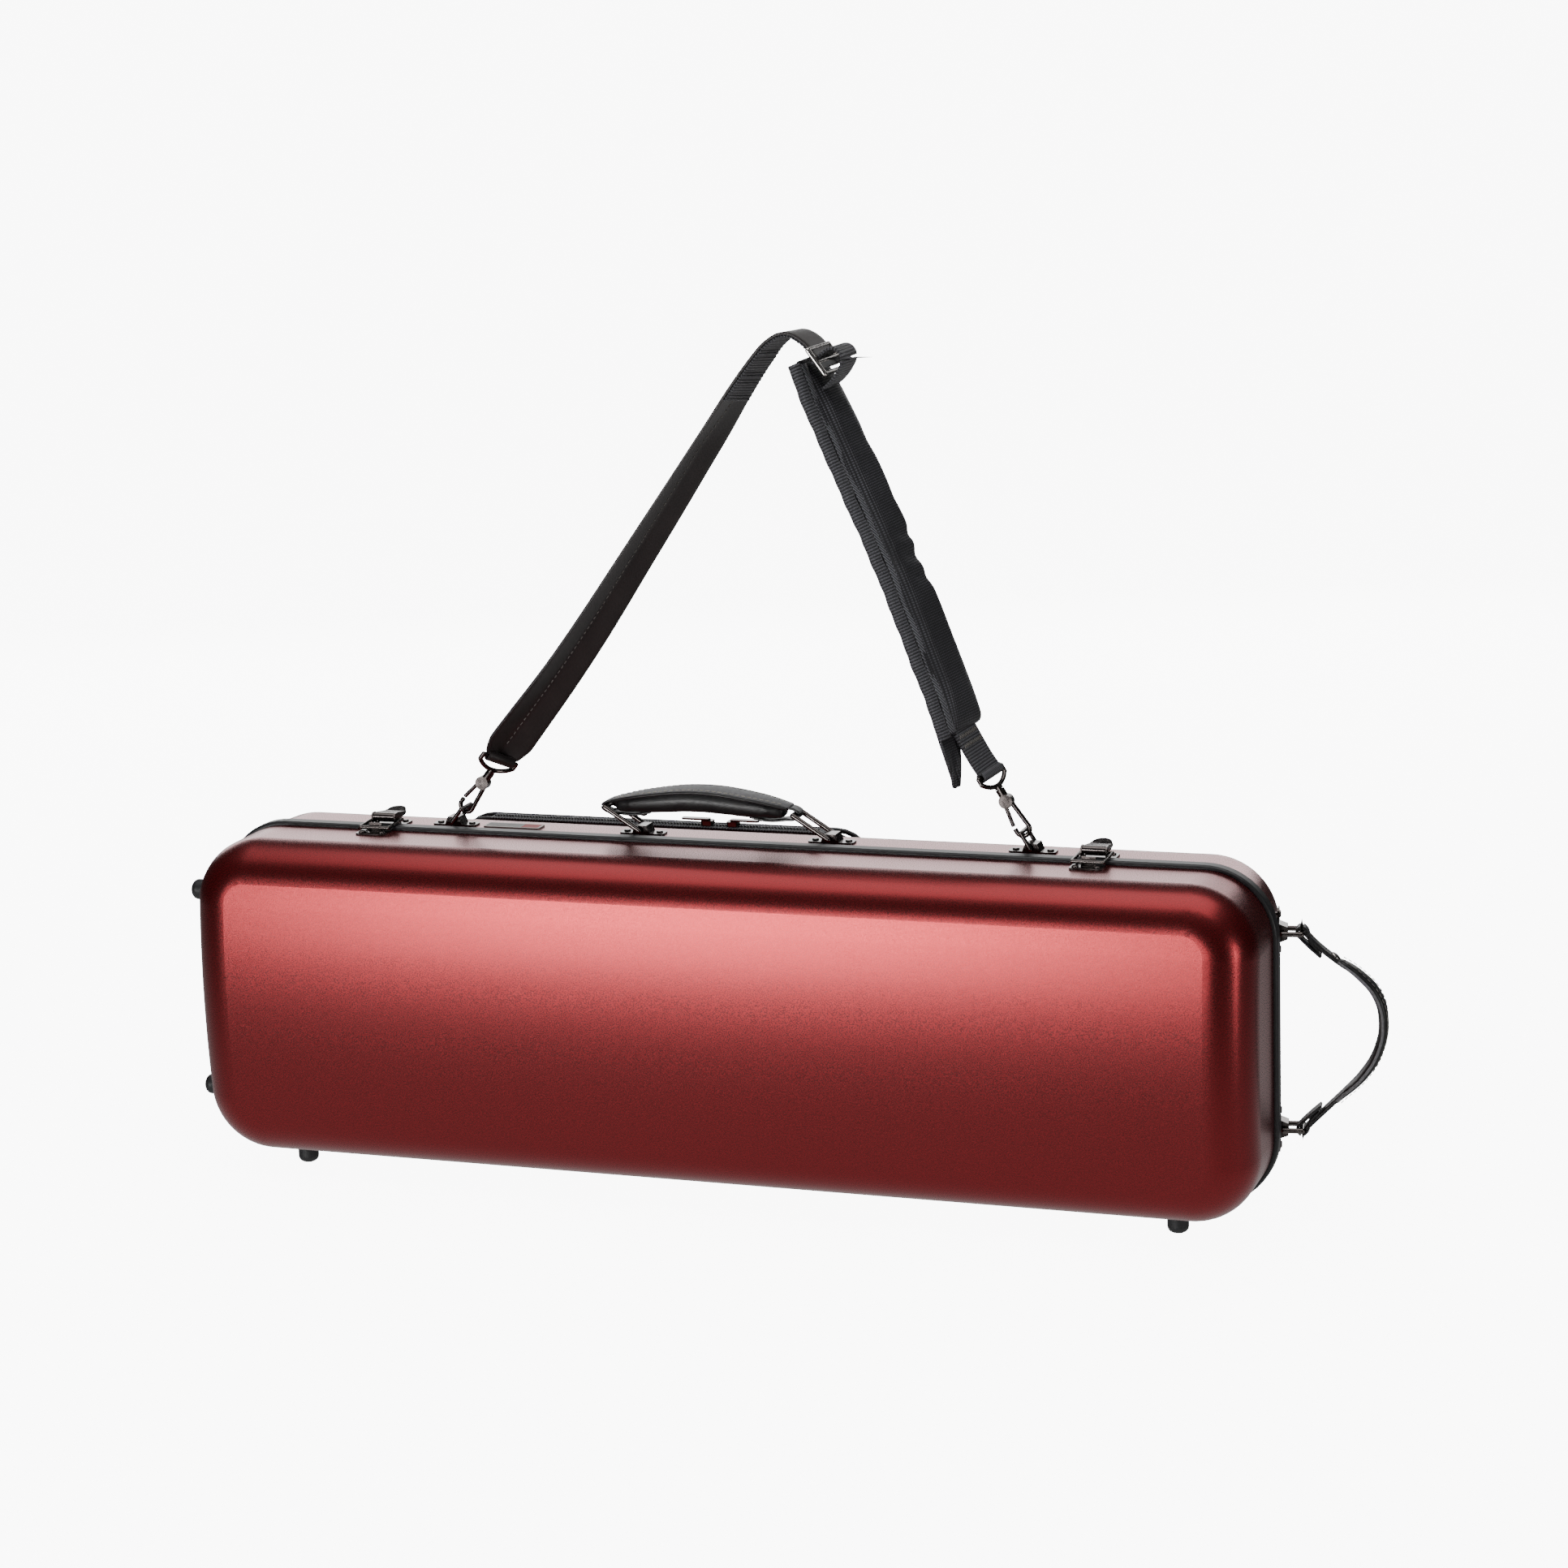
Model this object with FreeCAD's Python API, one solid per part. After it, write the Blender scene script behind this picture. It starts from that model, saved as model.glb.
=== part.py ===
import FreeCAD, Part
import math
import os

# Hard-shell violin case standing on its hinge-side feet. Millimetres, +Z up, +X towards the
# end with the end handle. The lid is the half at -Y and the base is the half at +Y.
# Everything is built with the seam in the plane y = 0 and the case centred on x = 0, and
# save() moves it so that the origin is the bottom centre of the bounding box.

os.makedirs("parts", exist_ok=True)
V = FreeCAD.Vector

# shells
case_length = 790.0
case_height = 236.0
lid_depth = 76.0
base_depth = 80.0
wall = 2.2
corner_radius = 48.0
edge_radius = 32.0
crown_rise = 10.0
end_draft = 9.0
rim_gap = 0.4
foot_height = 16.0
end_foot_height = 12.0
# seam band and rim seal
band_width = 12.0
band_proud = 3.0
band_edge = 2.2
seal_thickness = 1.8
seal_proud = 3.0
# interior
lining = 5.0
foam_recess = 6.0
violin_length = 358.0
violin_lower_bout = 212.0
violin_upper_bout = 174.0
violin_waist = 128.0
violin_depth = 52.0
violin_end_margin = 12.0
neck_length = 246.0
neck_slot_width = 60.0
box_depth = 60.0
well_length = 118.0
rib_thickness = 14.0
accessory_lid_height = 62.0
accessory_lid_length = 200.0
accessory_lid_thickness = 3.0
# wires, pins, rivets
rivet_radius = 1.2
rivet_head_radius = 2.5
rivet_head = 1.1
shank_short = 0.25  # the shank stops this far short of the shell's inner face
fit = 0.05
plate = 1.2
# hinges
hinge_length = 29.0
hinge_offset = 304.0
knuckle_radius = 2.4
hinge_pin_radius = 1.2
hinge_gap = 0.3
leaf_reach = 20.0
# latches
latch_offset = 269.0
keeper_length = 23.0
lever_pivot_y = band_width - 2.0
lever_pivot_z = 8.0
bail_pivot_y = band_width + 4.0
bail_pivot_z = 5.0
bail_bar_y = -8.6
bail_bar_z = 3.9
bail_wire = 1.25
bail_half_width = 11.2
lever_half_width = 8.0
lever_tip_y = band_width + 25.0
lever_tip_radius = 7.2
ear_x = 8.3
ear_front = lever_pivot_y - 3.0
ear_back = lever_pivot_y + 4.3
band_gap = 0.5
ear_height = 11.0
pin_head = 0.25
# carry handle and its brackets
hardware_y = 29.0
handle_half_span = 72.0
bracket_length = 34.0
bracket_width = 12.0
fold_height = 6.8
fold_half_width = 5.0
ring_axis_height = 3.4
ring_half_width = 8.4
handle_ring_wire = 1.9
handle_ring_length = 31.0
handle_lean = 58.0
grip_half_width = 15.0
grip_half_height = 8.5
grip_rise = 7.0
grip_tab_half_width = 5.6
grip_tab_radius = 4.2
# end handle
end_half_span = 70.0
end_ring_length = 13.0
end_strap_reach = 58.0
end_strap_width = 11.4
end_strap_thickness = 3.4
end_pad_width = 22.0
end_pad_thickness = 5.0
# shoulder strap
strap_offset = 220.0
strap_ring_wire = 1.6
strap_ring_length = 13.0
hook_wire = 1.7
hook_bow_radius = 5.0
hook_pivot = 37.0
hook_barrel = 46.5
eye_bar = 60.0
eye_half_width = 14.8
eye_wire = 1.7
left_leg_angle = 38.5
right_leg_angle = -30.3
left_turn = 42.0
right_turn = 19.0
strap_width = 38.0
strap_thickness = 2.4
strap_apex_rise = 364.0
apex_x = 54.0
buckle_half_length = 22.0
buckle_half_width = 10.0
buckle_wire = 1.8
pad_width = 54.0
pad_thickness = 11.0
# feet
foot_radius = 7.6
foot_offset = 332.5
lid_foot_y = -22.0
lid_end_foot_y = -34.0
base_foot_y = 36.0
end_foot_rise = 75.0
# rear pocket
pocket_center = -83.0
pocket_length = 324.0
pocket_height = 200.0
pocket_top_drop = 6.5
pocket_depth = 20.0
pocket_edge = 9.0
zip_width = 14.0
zip_thickness = 1.0
zip_tooth_width = 3.4
zip_tooth_height = 1.4
slider_length = 9.0
slider_gap = 0.4
# bow holders
spinner_x = 300.0
spinner_rise = 30.0
spinner_length = 34.0
spinner_width = 12.0
spinner_thickness = 7.0
post_radius = 3.0
tip_pocket_x = -350.0
tip_pocket_length = 82.0
tip_pocket_width = 96.0
tip_pocket_depth = 22.0

# worked out from the dimensions above
half_length = case_length / 2
half_height = case_height / 2
mid_z = foot_height + half_height
top_z = foot_height + case_height
crown_radius = (half_height ** 2 + crown_rise ** 2) / (2 * crown_rise)
draft_slope = math.tan(math.radians(end_draft))
hinge_axis_z = foot_height - band_proud - knuckle_radius - 0.3
ring_axis_z = top_z + ring_axis_height
pocket_back = base_depth + pocket_depth
end_wall_x = half_length - (hardware_y - band_width) * draft_slope
end_reach = end_wall_x + end_pad_width / 2 * math.sin(math.radians(end_draft))
end_reach += (ring_axis_height + end_ring_length + end_strap_reach) * math.cos(math.radians(end_draft))
shift = V((half_length + end_foot_height - end_reach) / 2, (lid_depth - pocket_back) / 2, 0)
neck_start = -half_length + violin_end_margin + violin_length
neck_end = neck_start + neck_length


def save(node, *solids):
    """Write one node, as one solid or as a group of separate solids."""
    parts = []
    for solid in solids:
        parts.extend(solid.Solids)
    shape = parts[0] if len(parts) == 1 else Part.makeCompound(parts)
    shape = shape.copy()
    shape.translate(shift)
    shape.exportStep("parts/" + node + ".step")


def block(x0, x1, y0, y1, z0, z1):
    return Part.makeBox(x1 - x0, y1 - y0, z1 - z0, V(x0, y0, z0))


def rod(start, end, radius):
    axis = end - start
    return Part.makeCylinder(radius, axis.Length, start, axis)


def fused(shapes):
    return shapes[0].multiFuse(shapes[1:]).removeSplitter()


def arc(a, b, c):
    """Arc edge from a through b to c."""
    return Part.Arc(a, b, c).toShape()


def round_bar(edges, radius, closed=False):
    """Round bar bent along straight and curved edges, with ball joints between them."""
    pieces = []
    for edge in edges:
        start = edge.valueAt(edge.FirstParameter)
        end = edge.valueAt(edge.LastParameter)
        if isinstance(edge.Curve, Part.Line):
            pieces.append(rod(start, end, radius))
        else:
            tangent = edge.tangentAt(edge.FirstParameter)
            profile = Part.Wire([Part.Circle(start, tangent, radius).toShape()])
            pieces.append(Part.Wire([edge]).makePipeShell([profile], True, False))
        if closed or edge is not edges[-1]:
            pieces.append(Part.makeSphere(radius, end))
    return fused(pieces)


def wire_frame(points, radius, closed=True):
    """Round wire bent through the points, with ball corners."""
    ends = points[1:] + points[:1] if closed else points[1:]
    return round_bar([Part.makeLine(a, b) for a, b in zip(points, ends)], radius, closed)


def prism_x(points, x0, x1):
    """Solid with the (y, z) outline, from x0 to x1."""
    corners = [V(x0, y, z) for y, z in points]
    return Part.Face(Part.makePolygon(corners + corners[:1])).extrude(V(x1 - x0, 0, 0))


def prism_y(points, y0, y1):
    """Solid with the (x, z) outline, from y0 to y1."""
    corners = [V(x, y0, z) for x, z in points]
    return Part.Face(Part.makePolygon(corners + corners[:1])).extrude(V(0, y1 - y0, 0))


def moved(shape, x, y, z):
    copy = shape.copy()
    copy.translate(V(x, y, z))
    return copy


def turned(shape, axis, angle, about=V(0, 0, 0)):
    copy = shape.copy()
    copy.rotate(about, axis, angle)
    return copy


def slab_fillet(solid, radius, pick):
    """Round the edges whose centre passes the pick test."""
    return solid.makeFillet(radius, [e for e in solid.Edges if pick(e)])


# ---------------------------------------------------------------- shells


def outline(length, height, corner, y):
    """Rounded rectangle in the plane y, centred on the case."""
    x = length / 2
    z = height / 2
    k = corner * (1 - math.sqrt(0.5))
    starts = [(corner - x, -z), (x, corner - z), (x - corner, z), (-x, z - corner)]
    ends = [(x - corner, -z), (x, z - corner), (corner - x, z), (-x, corner - z)]
    middles = [(x - k, k - z), (x - k, z - k), (k - x, z - k), (k - x, k - z)]
    edges = []
    for i in range(4):
        a = V(starts[i][0], y, mid_z + starts[i][1])
        b = V(ends[i][0], y, mid_z + ends[i][1])
        m = V(middles[i][0], y, mid_z + middles[i][1])
        c = V(starts[(i + 1) % 4][0], y, mid_z + starts[(i + 1) % 4][1])
        edges.append(Part.makeLine(a, b))
        edges.append(Part.Arc(b, m, c).toShape())
    return Part.Wire(edges)


def tub(offset, side, depth, start, slope):
    """Crowned tub that lies `offset` inside the outer surface of one half.

    side is -1 for the lid and +1 for the base. The end walls lean in by `slope` past the
    seam band, and the edge round the crowned face is rounded.
    """
    length = case_length - 2 * offset
    height = case_height - 2 * offset
    corner = corner_radius - offset
    beyond = depth + 5
    lean = 2 * (beyond - band_width) * slope
    sections = [outline(length, height, corner, side * start)]
    if slope:
        sections.append(outline(length, height, corner, side * band_width))
    sections.append(outline(length - lean, height, corner, side * beyond))
    body = Part.makeLoft(sections, True, True)
    axis_start = V(-case_length, side * (depth - crown_radius), mid_z)
    radius = crown_radius - offset
    crown = Part.makeCylinder(radius, 2 * case_length, axis_start, V(1, 0, 0))
    body = body.common(crown)
    rims = []
    for face in body.Faces:
        if isinstance(face.Surface, Part.Cylinder) and abs(face.Surface.Radius - radius) < 0.01:
            rims = face.Edges
    return body.makeFillet(edge_radius - offset, rims)


def lid_tub(offset, start):
    return tub(offset, -1, lid_depth, start, 0)


def base_tub(offset, start):
    return tub(offset, 1, base_depth, start, draft_slope)


def ring_prism(grow, y0, y1):
    """Rim outline grown by `grow`, from y0 to y1."""
    rim = outline(case_length + 2 * grow, case_height + 2 * grow, corner_radius + grow, y0)
    return Part.Face(rim).extrude(V(0, y1 - y0, 0))


def rivet(point, normal, length):
    """Domed rivet: the head sits on the point and the shank goes in."""
    head = Part.makeCylinder(rivet_head_radius, rivet_head, V(0, 0, 0))
    head = head.makeFillet(rivet_head * 0.7, [e for e in head.Edges if e.BoundBox.ZMin > 0.5])
    shank = Part.makeCylinder(rivet_radius, length, V(0, 0, -length))
    shape = head.fuse(shank)
    shape.Placement = FreeCAD.Placement(point, FreeCAD.Rotation(V(0, 0, 1), normal))
    return shape


def rivet_hole(point, normal):
    reach = 3 * (plate + wall)
    return rod(point - normal * reach, point + normal * 0.5, rivet_radius + fit)


def drilled(shape, sites):
    return shape.cut([rivet_hole(p, n) for p, n in sites])


# ---------------------------------------------------------------- fastener sites

up = V(0, 0, 1)
down = V(0, 0, -1)
end_out = V(math.cos(math.radians(end_draft)), math.sin(math.radians(end_draft)), 0)
hinge_centres = [-hinge_offset, 0.0, hinge_offset]
latch_centres = [-latch_offset, latch_offset]
strap_centres = [-strap_offset, strap_offset]
handle_centres = [-handle_half_span, handle_half_span]
bracket_hole = bracket_length / 2 - 4.5
latch_plate_y = (band_width + 1.0, band_width + 19.0)
latch_plate_half = 13.0


def bracket_sites():
    """Rivets of the strap and carry-handle brackets, on top of the bracket plates."""
    sites = []
    for centre in strap_centres + handle_centres:
        for side in (-1, 1):
            sites.append((V(centre + side * bracket_hole, hardware_y, top_z + plate), up))
    return sites


def on_end_wall(shape, z):
    """Carry hardware made for a flat top over to the leaning end wall."""
    copy = turned(shape, V(0, 1, 0), 90)
    copy = turned(copy, V(0, 0, 1), end_draft)
    return moved(copy, end_wall_x, hardware_y, z)


def end_sites():
    sites = []
    for centre in (-end_half_span, end_half_span):
        for side in (-1, 1):
            foot = V(end_wall_x, hardware_y, mid_z + centre + side * bracket_hole)
            sites.append((foot + end_out * plate, end_out))
    return sites


def latch_sites():
    sites = []
    for centre in latch_centres:
        for side in (-1, 1):
            sites.append((V(centre + side * 8.5, latch_plate_y[1] - 4, top_z + plate), up))
    return sites


def hinge_sites(side):
    sites = []
    for centre in hinge_centres:
        for end in (-1, 1):
            y = side * (leaf_reach - 4.5) if side < 0 else leaf_reach + 6.5
            sites.append((V(centre + end * 9.0, y, foot_height - plate), down))
    return sites


def keeper_sites():
    sites = []
    for centre in latch_centres:
        for side in (-1, 1):
            sites.append((V(centre + side * 7.8, -13.2, top_z + plate), up))
    return sites


def make_shells():
    lid = lid_tub(0, rim_gap).cut(lid_tub(wall, -1))
    save("lid_shell", drilled(lid, hinge_sites(-1) + keeper_sites()))
    base = base_tub(0, 0).cut(base_tub(wall, -1))
    sites = bracket_sites() + end_sites() + latch_sites() + hinge_sites(1)
    save("base_shell", drilled(base, sites))


def make_band():
    band = ring_prism(band_proud, 0.3, band_width).cut(ring_prism(0, 0, band_width + 1))
    outer = [e for e in band.Edges if on_band_edge(e)]
    save("seam_band", band.makeFillet(band_edge, outer))


def on_band_edge(edge):
    box = edge.BoundBox
    half = half_length + band_proud
    tall = half_height + band_proud
    flat = box.YMax - box.YMin < 0.01
    far_x = max(abs(box.XMin), abs(box.XMax)) > half - 0.01
    far_z = max(abs(box.ZMin - mid_z), abs(box.ZMax - mid_z)) > tall - 0.01
    return flat and (far_x or far_z)


def make_seal():
    outer = -wall - rim_gap
    inner = outer - seal_thickness
    seal = ring_prism(outer, -seal_proud, foam_recess)
    save("rim_seal", seal.cut(ring_prism(inner, -seal_proud - 1, foam_recess + 1)))


# ---------------------------------------------------------------- interior


def violin_cavity():
    """Space for the instrument: two bouts, a waist and the neck slot."""
    tail = -half_length + violin_end_margin
    y0 = foam_recess - 1
    y1 = foam_recess + violin_depth
    lower = violin_lower_bout / 2
    upper = violin_upper_bout / 2
    along = V(0, 1, 0)
    lower_bout = Part.makeCylinder(lower, y1 - y0, V(tail + lower, y0, mid_z), along)
    upper_centre = V(neck_start - upper, y0, mid_z)
    upper_bout = Part.makeCylinder(upper, y1 - y0, upper_centre, along)
    half_waist = violin_waist / 2
    waist = block(tail + lower, neck_start - upper, y0, y1, mid_z - half_waist, mid_z + half_waist)
    slot_half = neck_slot_width / 2
    neck = block(neck_start - 20, neck_end, y0, y1 - 12, mid_z - slot_half, mid_z + slot_half)
    return fused([lower_bout, upper_bout, waist, neck])


well_start = neck_end + rib_thickness
well_end = well_start + well_length
box_z0 = mid_z + neck_slot_width / 2 + rib_thickness
box_x0 = neck_end - accessory_lid_length
lid_axis_z = box_z0 - 2.0
lid_axis_y = foam_recess - accessory_lid_thickness


def make_foam():
    foam = base_tub(wall, foam_recess).cut(violin_cavity())
    half = half_height - wall - rib_thickness
    well = block(well_start, well_end, foam_recess - 1, foam_recess + box_depth,
                 mid_z - half + 12, mid_z + half - 12)
    well = slab_fillet(well, 12, lambda e: abs(e.tangentAt(e.FirstParameter).y) > 0.9)
    box = block(box_x0 + 8, neck_end - 8, foam_recess - 1, foam_recess + box_depth - 14,
                box_z0 + 4, lid_axis_z + accessory_lid_height - 8)
    save("base_foam", foam.cut(well).cut(box))


def make_lid_lining():
    save("lid_lining", lid_tub(wall, seal_proud + 1).cut(lid_tub(wall + lining, 0)))


def make_neck_cradle():
    """Padded saddle in the neck slot, and the tie that holds the neck down."""
    x0 = neck_start + 60
    half = neck_slot_width / 2
    y1 = foam_recess + violin_depth - 12
    saddle = block(x0, x0 + 34, foam_recess + 8, y1, mid_z - half, mid_z + half)
    groove = rod(V(x0 - 1, foam_recess + 8, mid_z), V(x0 + 35, foam_recess + 8, mid_z), 17)
    save("neck_cradle", saddle.cut(groove))
    tie = block(x0 + 6, x0 + 28, foam_recess - 1.6, foam_recess, mid_z - half - 12, mid_z + half + 8)
    save("neck_tie", tie)


def make_accessory_lid():
    x0 = box_x0
    x1 = box_x0 + accessory_lid_length
    top = lid_axis_z + accessory_lid_height
    panel = block(x0, x1, lid_axis_y - 0.3, foam_recess - 0.3, lid_axis_z + 2.4, top)
    panel = slab_fillet(panel, 6, lambda e: abs(e.tangentAt(e.FirstParameter).y) > 0.9)
    barrel_axis = lid_axis_y + 0.2
    inner = rod(V(x0 + 12, barrel_axis, lid_axis_z), V(x1 - 12, barrel_axis, lid_axis_z), 1.6)
    web = block(x0 + 12, x1 - 12, lid_axis_y - 0.3, lid_axis_y + 0.9, lid_axis_z, lid_axis_z + 8)
    hole = rod(V(x0, barrel_axis, lid_axis_z), V(x1, barrel_axis, lid_axis_z), 0.8 + fit)
    tab = block((x0 + x1) / 2 - 9, (x0 + x1) / 2 + 9, lid_axis_y - 1.3, lid_axis_y - 0.3, top - 18, top + 5)
    save("accessory_lid", fused([panel, inner, web]).cut(hole))
    save("accessory_lid_tab", tab)
    pin = rod(V(x0 + 4, barrel_axis, lid_axis_z), V(x1 - 4, barrel_axis, lid_axis_z), 0.8)
    pads = [pin]
    for x in (x0 + 3, x1 - 9):
        pads.append(block(x, x + 6, barrel_axis - 1.4, foam_recess, lid_axis_z - 5, lid_axis_z + 1.6))
    save("accessory_lid_pin", fused(pads))


def lining_surface(z):
    """Depth of the lid lining's inner face at height z, measured from the seam."""
    radius = crown_radius - wall - lining
    return lid_depth - crown_radius + math.sqrt(radius ** 2 - (z - mid_z) ** 2)


def make_bow_holders():
    posts = []
    lining_solid = lid_tub(wall, seal_proud + 1).cut(lid_tub(wall + lining, 0))
    for name, side in (("upper", 1), ("lower", -1)):
        z = mid_z + side * spinner_rise
        floor = -lining_surface(z)
        post = rod(V(spinner_x, floor - 2, z), V(spinner_x, floor + 17, z), post_radius)
        flange = rod(V(spinner_x, floor - 2, z), V(spinner_x, floor + 5, z), post_radius + 3)
        cap = rod(V(spinner_x, floor + 14.2, z), V(spinner_x, floor + 17, z), post_radius + 2)
        posts.append(fused([post, flange, cap]).cut(lining_solid))
        y0 = floor + 5.3
        half = spinner_length / 2
        arm = block(spinner_x - half, spinner_x + half, y0, y0 + spinner_thickness,
                    z - spinner_width / 2, z + spinner_width / 2)
        arm = slab_fillet(arm, 5, lambda e: abs(e.tangentAt(e.FirstParameter).y) > 0.9)
        bore = rod(V(spinner_x, y0 - 1, z), V(spinner_x, y0 + 20, z), post_radius + fit)
        save("bow_spinner_" + name, arm.cut(bore))
    save("bow_spinner_posts", *posts)
    front = lid_depth - tip_pocket_depth
    half = tip_pocket_width / 2
    sleeve = block(tip_pocket_x, tip_pocket_x + tip_pocket_length, -lid_depth, -front, mid_z - half, mid_z + half)
    slot = block(tip_pocket_x + 6, tip_pocket_x + tip_pocket_length + 1, -front - 12, -front - 2,
                 mid_z - half + 5, mid_z + half - 5)
    rear = lid_tub(wall + lining, 0)
    save("bow_tip_pocket", sleeve.common(rear).cut(slot))


# ---------------------------------------------------------------- hinges


def make_hinges():
    lid_leaves = []
    base_leaves = []
    pins = []
    third = hinge_length / 3
    z = hinge_axis_z
    bore = hinge_pin_radius + fit
    for centre in hinge_centres:
        x0 = centre - hinge_length / 2
        x1 = centre + hinge_length / 2
        m0 = x0 + third
        m1 = x1 - third
        web = prism_x([(-4.0, z), (-2.8, z), (-2.8, foot_height - plate), (-2.8, foot_height),
                       (-leaf_reach, foot_height), (-leaf_reach, foot_height - plate),
                       (-4.0, foot_height - plate)], x0, x1)
        knuckle = rod(V(m0 + hinge_gap, 0, z), V(m1 - hinge_gap, 0, z), knuckle_radius)
        bridge = block(m0 + hinge_gap, m1 - hinge_gap, -4.0, 0, z - 1.2, z + 1.2)
        bridge = bridge.cut(rod(V(x0, 0, z), V(x1, 0, z), bore))
        leaf = fused([web, knuckle, bridge]).cut(rod(V(x0, 0, z), V(x1, 0, z), bore))
        lid_leaves.append(leaf)
        top = foot_height - band_proud - 0.3
        reach = leaf_reach + 12
        step = band_width + 1.0
        joggle = prism_x([(0, top - plate), (0, top), (step, top), (step, foot_height),
                          (reach, foot_height), (reach, foot_height - plate),
                          (step + plate, foot_height - plate), (step + plate, top - plate)], x0, x1)
        relief = block(m0, m1, -1, knuckle_radius + 0.5, 0, foot_height)
        joggle = joggle.cut(relief)
        sides = [rod(V(a, 0, z), V(b, 0, z), knuckle_radius) for a, b in ((x0, m0), (m1, x1))]
        leaf = fused([joggle] + sides).cut(rod(V(x0 - 1, 0, z), V(x1 + 1, 0, z), bore))
        base_leaves.append(leaf)
        pins.append(rod(V(x0 - 0.8, 0, z), V(x1 + 0.8, 0, z), hinge_pin_radius))
    save("hinge_lid_leaves", *[drilled(leaf, hinge_sites(-1)) for leaf in lid_leaves])
    save("hinge_base_leaves", *[drilled(leaf, hinge_sites(1)) for leaf in base_leaves])
    save("hinge_pins", *pins)


def make_rivets():
    length = plate + wall - shank_short
    lid_sites = hinge_sites(-1)
    save("lid_rivets", *[rivet(p, n, length) for p, n in lid_sites])
    base_sites = bracket_sites() + end_sites() + latch_sites() + hinge_sites(1)
    save("base_rivets", *[rivet(p, n, length) for p, n in base_sites])
    save("keeper_screws", *[rivet(p, n, length) for p, n in keeper_sites()])


# ---------------------------------------------------------------- latches


def keeper(x):
    """Plate on the lid with the upright hook that the bail pulls on."""
    half = keeper_length / 2
    base = block(x - half, x + half, -17.5, -3.0, top_z, top_z + plate)
    base = slab_fillet(base, 2, lambda e: abs(e.tangentAt(e.FirstParameter).z) > 0.9)
    hook_top = top_z + bail_bar_z + 2.6
    hook = prism_x([(-6.7, top_z), (-5.2, top_z), (-5.2, hook_top), (-6.0, hook_top + 0.6),
                    (-6.7, hook_top)], x - 5.0, x + 5.0)
    return fused([base, hook])


def latch_plate(x):
    """Base plate with the two ears that carry the lever's pin."""
    y0, y1 = latch_plate_y
    floor = block(x - latch_plate_half, x + latch_plate_half, y0, y1, top_z, top_z + plate)
    floor = slab_fillet(floor, 2, lambda e: abs(e.tangentAt(e.FirstParameter).z) > 0.9)
    ear_top = top_z + ear_height
    foot_y = band_width + band_gap
    clear = top_z + band_proud + band_gap
    ear = [(foot_y, top_z), (y0 + 5, top_z), (y0 + 5, top_z + 2.4), (ear_back, top_z + 3.2),
           (ear_back, top_z + lever_pivot_z), (foot_y, ear_top), (ear_front + 1.5, ear_top),
           (ear_front, ear_top - 1.5), (ear_front, clear), (foot_y, clear)]
    pieces = [floor]
    for side in (-1, 1):
        a = x + side * ear_x
        pieces.append(prism_x(ear, a, a + side * plate))
    pin = rod(V(x - 20, lever_pivot_y, top_z + lever_pivot_z),
              V(x + 20, lever_pivot_y, top_z + lever_pivot_z), bail_wire + fit)
    return fused(pieces).cut(pin)


def latch_lever(x):
    """Over-centre lever: barrel on the pin, bail barrel, arm and oval finger tab."""
    w = lever_half_width
    pz = top_z + lever_pivot_z
    qz = top_z + bail_pivot_z
    barrel = rod(V(x - w, lever_pivot_y, pz), V(x + w, lever_pivot_y, pz), 2.8)
    bail_barrel = rod(V(x - w, bail_pivot_y, qz), V(x + w, bail_pivot_y, qz), 2.5)
    arm_outline = [(lever_pivot_y - 1, pz + 2.6), (bail_pivot_y - 1.5, qz + 0.5),
                   (bail_pivot_y + 2.0, qz - 0.5), (lever_tip_y - 9, top_z + 6.0),
                   (lever_tip_y, top_z + 8.6),
                   (lever_tip_y, top_z + 10.2), (lever_tip_y - 9, top_z + 8.4),
                   (bail_pivot_y + 4, top_z + 9.6),
                   (lever_pivot_y + 2, pz + 2.8)]
    arm = prism_x(arm_outline, x - w, x + w)
    tip_centre = lever_tip_y - lever_tip_radius
    tip = Part.makeCylinder(lever_tip_radius, 2 * ear_height, V(x, tip_centre, top_z), up)
    body = block(x - w, x + w, lever_pivot_y - 4, tip_centre, top_z, top_z + 2 * ear_height)
    shape = fused([arm.common(fused([body, tip])), barrel, bail_barrel])
    holes = [rod(V(x - 20, lever_pivot_y, pz), V(x + 20, lever_pivot_y, pz), bail_wire + fit),
             rod(V(x - 20, bail_pivot_y, qz), V(x + 20, bail_pivot_y, qz), bail_wire + fit)]
    return shape.cut(holes)


def latch_bail(x):
    """Wire loop from the lever to the keeper's hook, with its ends turned in to the lever."""
    h = bail_half_width
    qz = top_z + bail_pivot_z
    bz = top_z + bail_bar_z
    points = [V(x - h + 5, bail_pivot_y, qz), V(x - h, bail_pivot_y, qz), V(x - h, bail_bar_y, bz),
              V(x + h, bail_bar_y, bz), V(x + h, bail_pivot_y, qz), V(x + h - 5, bail_pivot_y, qz)]
    return wire_frame(points, bail_wire, closed=False)


def make_latches():
    save("keeper_plates", *[drilled(keeper(x), keeper_sites()) for x in latch_centres])
    save("latch_plates", *[drilled(latch_plate(x), latch_sites()) for x in latch_centres])
    pins = []
    for x in latch_centres:
        reach = ear_x + plate + pin_head
        a = V(x - reach, lever_pivot_y, top_z + lever_pivot_z)
        b = V(x + reach, lever_pivot_y, top_z + lever_pivot_z)
        pins.append(rod(a, b, bail_wire))
    save("latch_pins", *pins)
    for name, x in zip(("left", "right"), latch_centres):
        save("latch_lever_" + name, latch_lever(x))
        save("latch_bail_" + name, latch_bail(x))


# ---------------------------------------------------------------- brackets and rings


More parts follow.
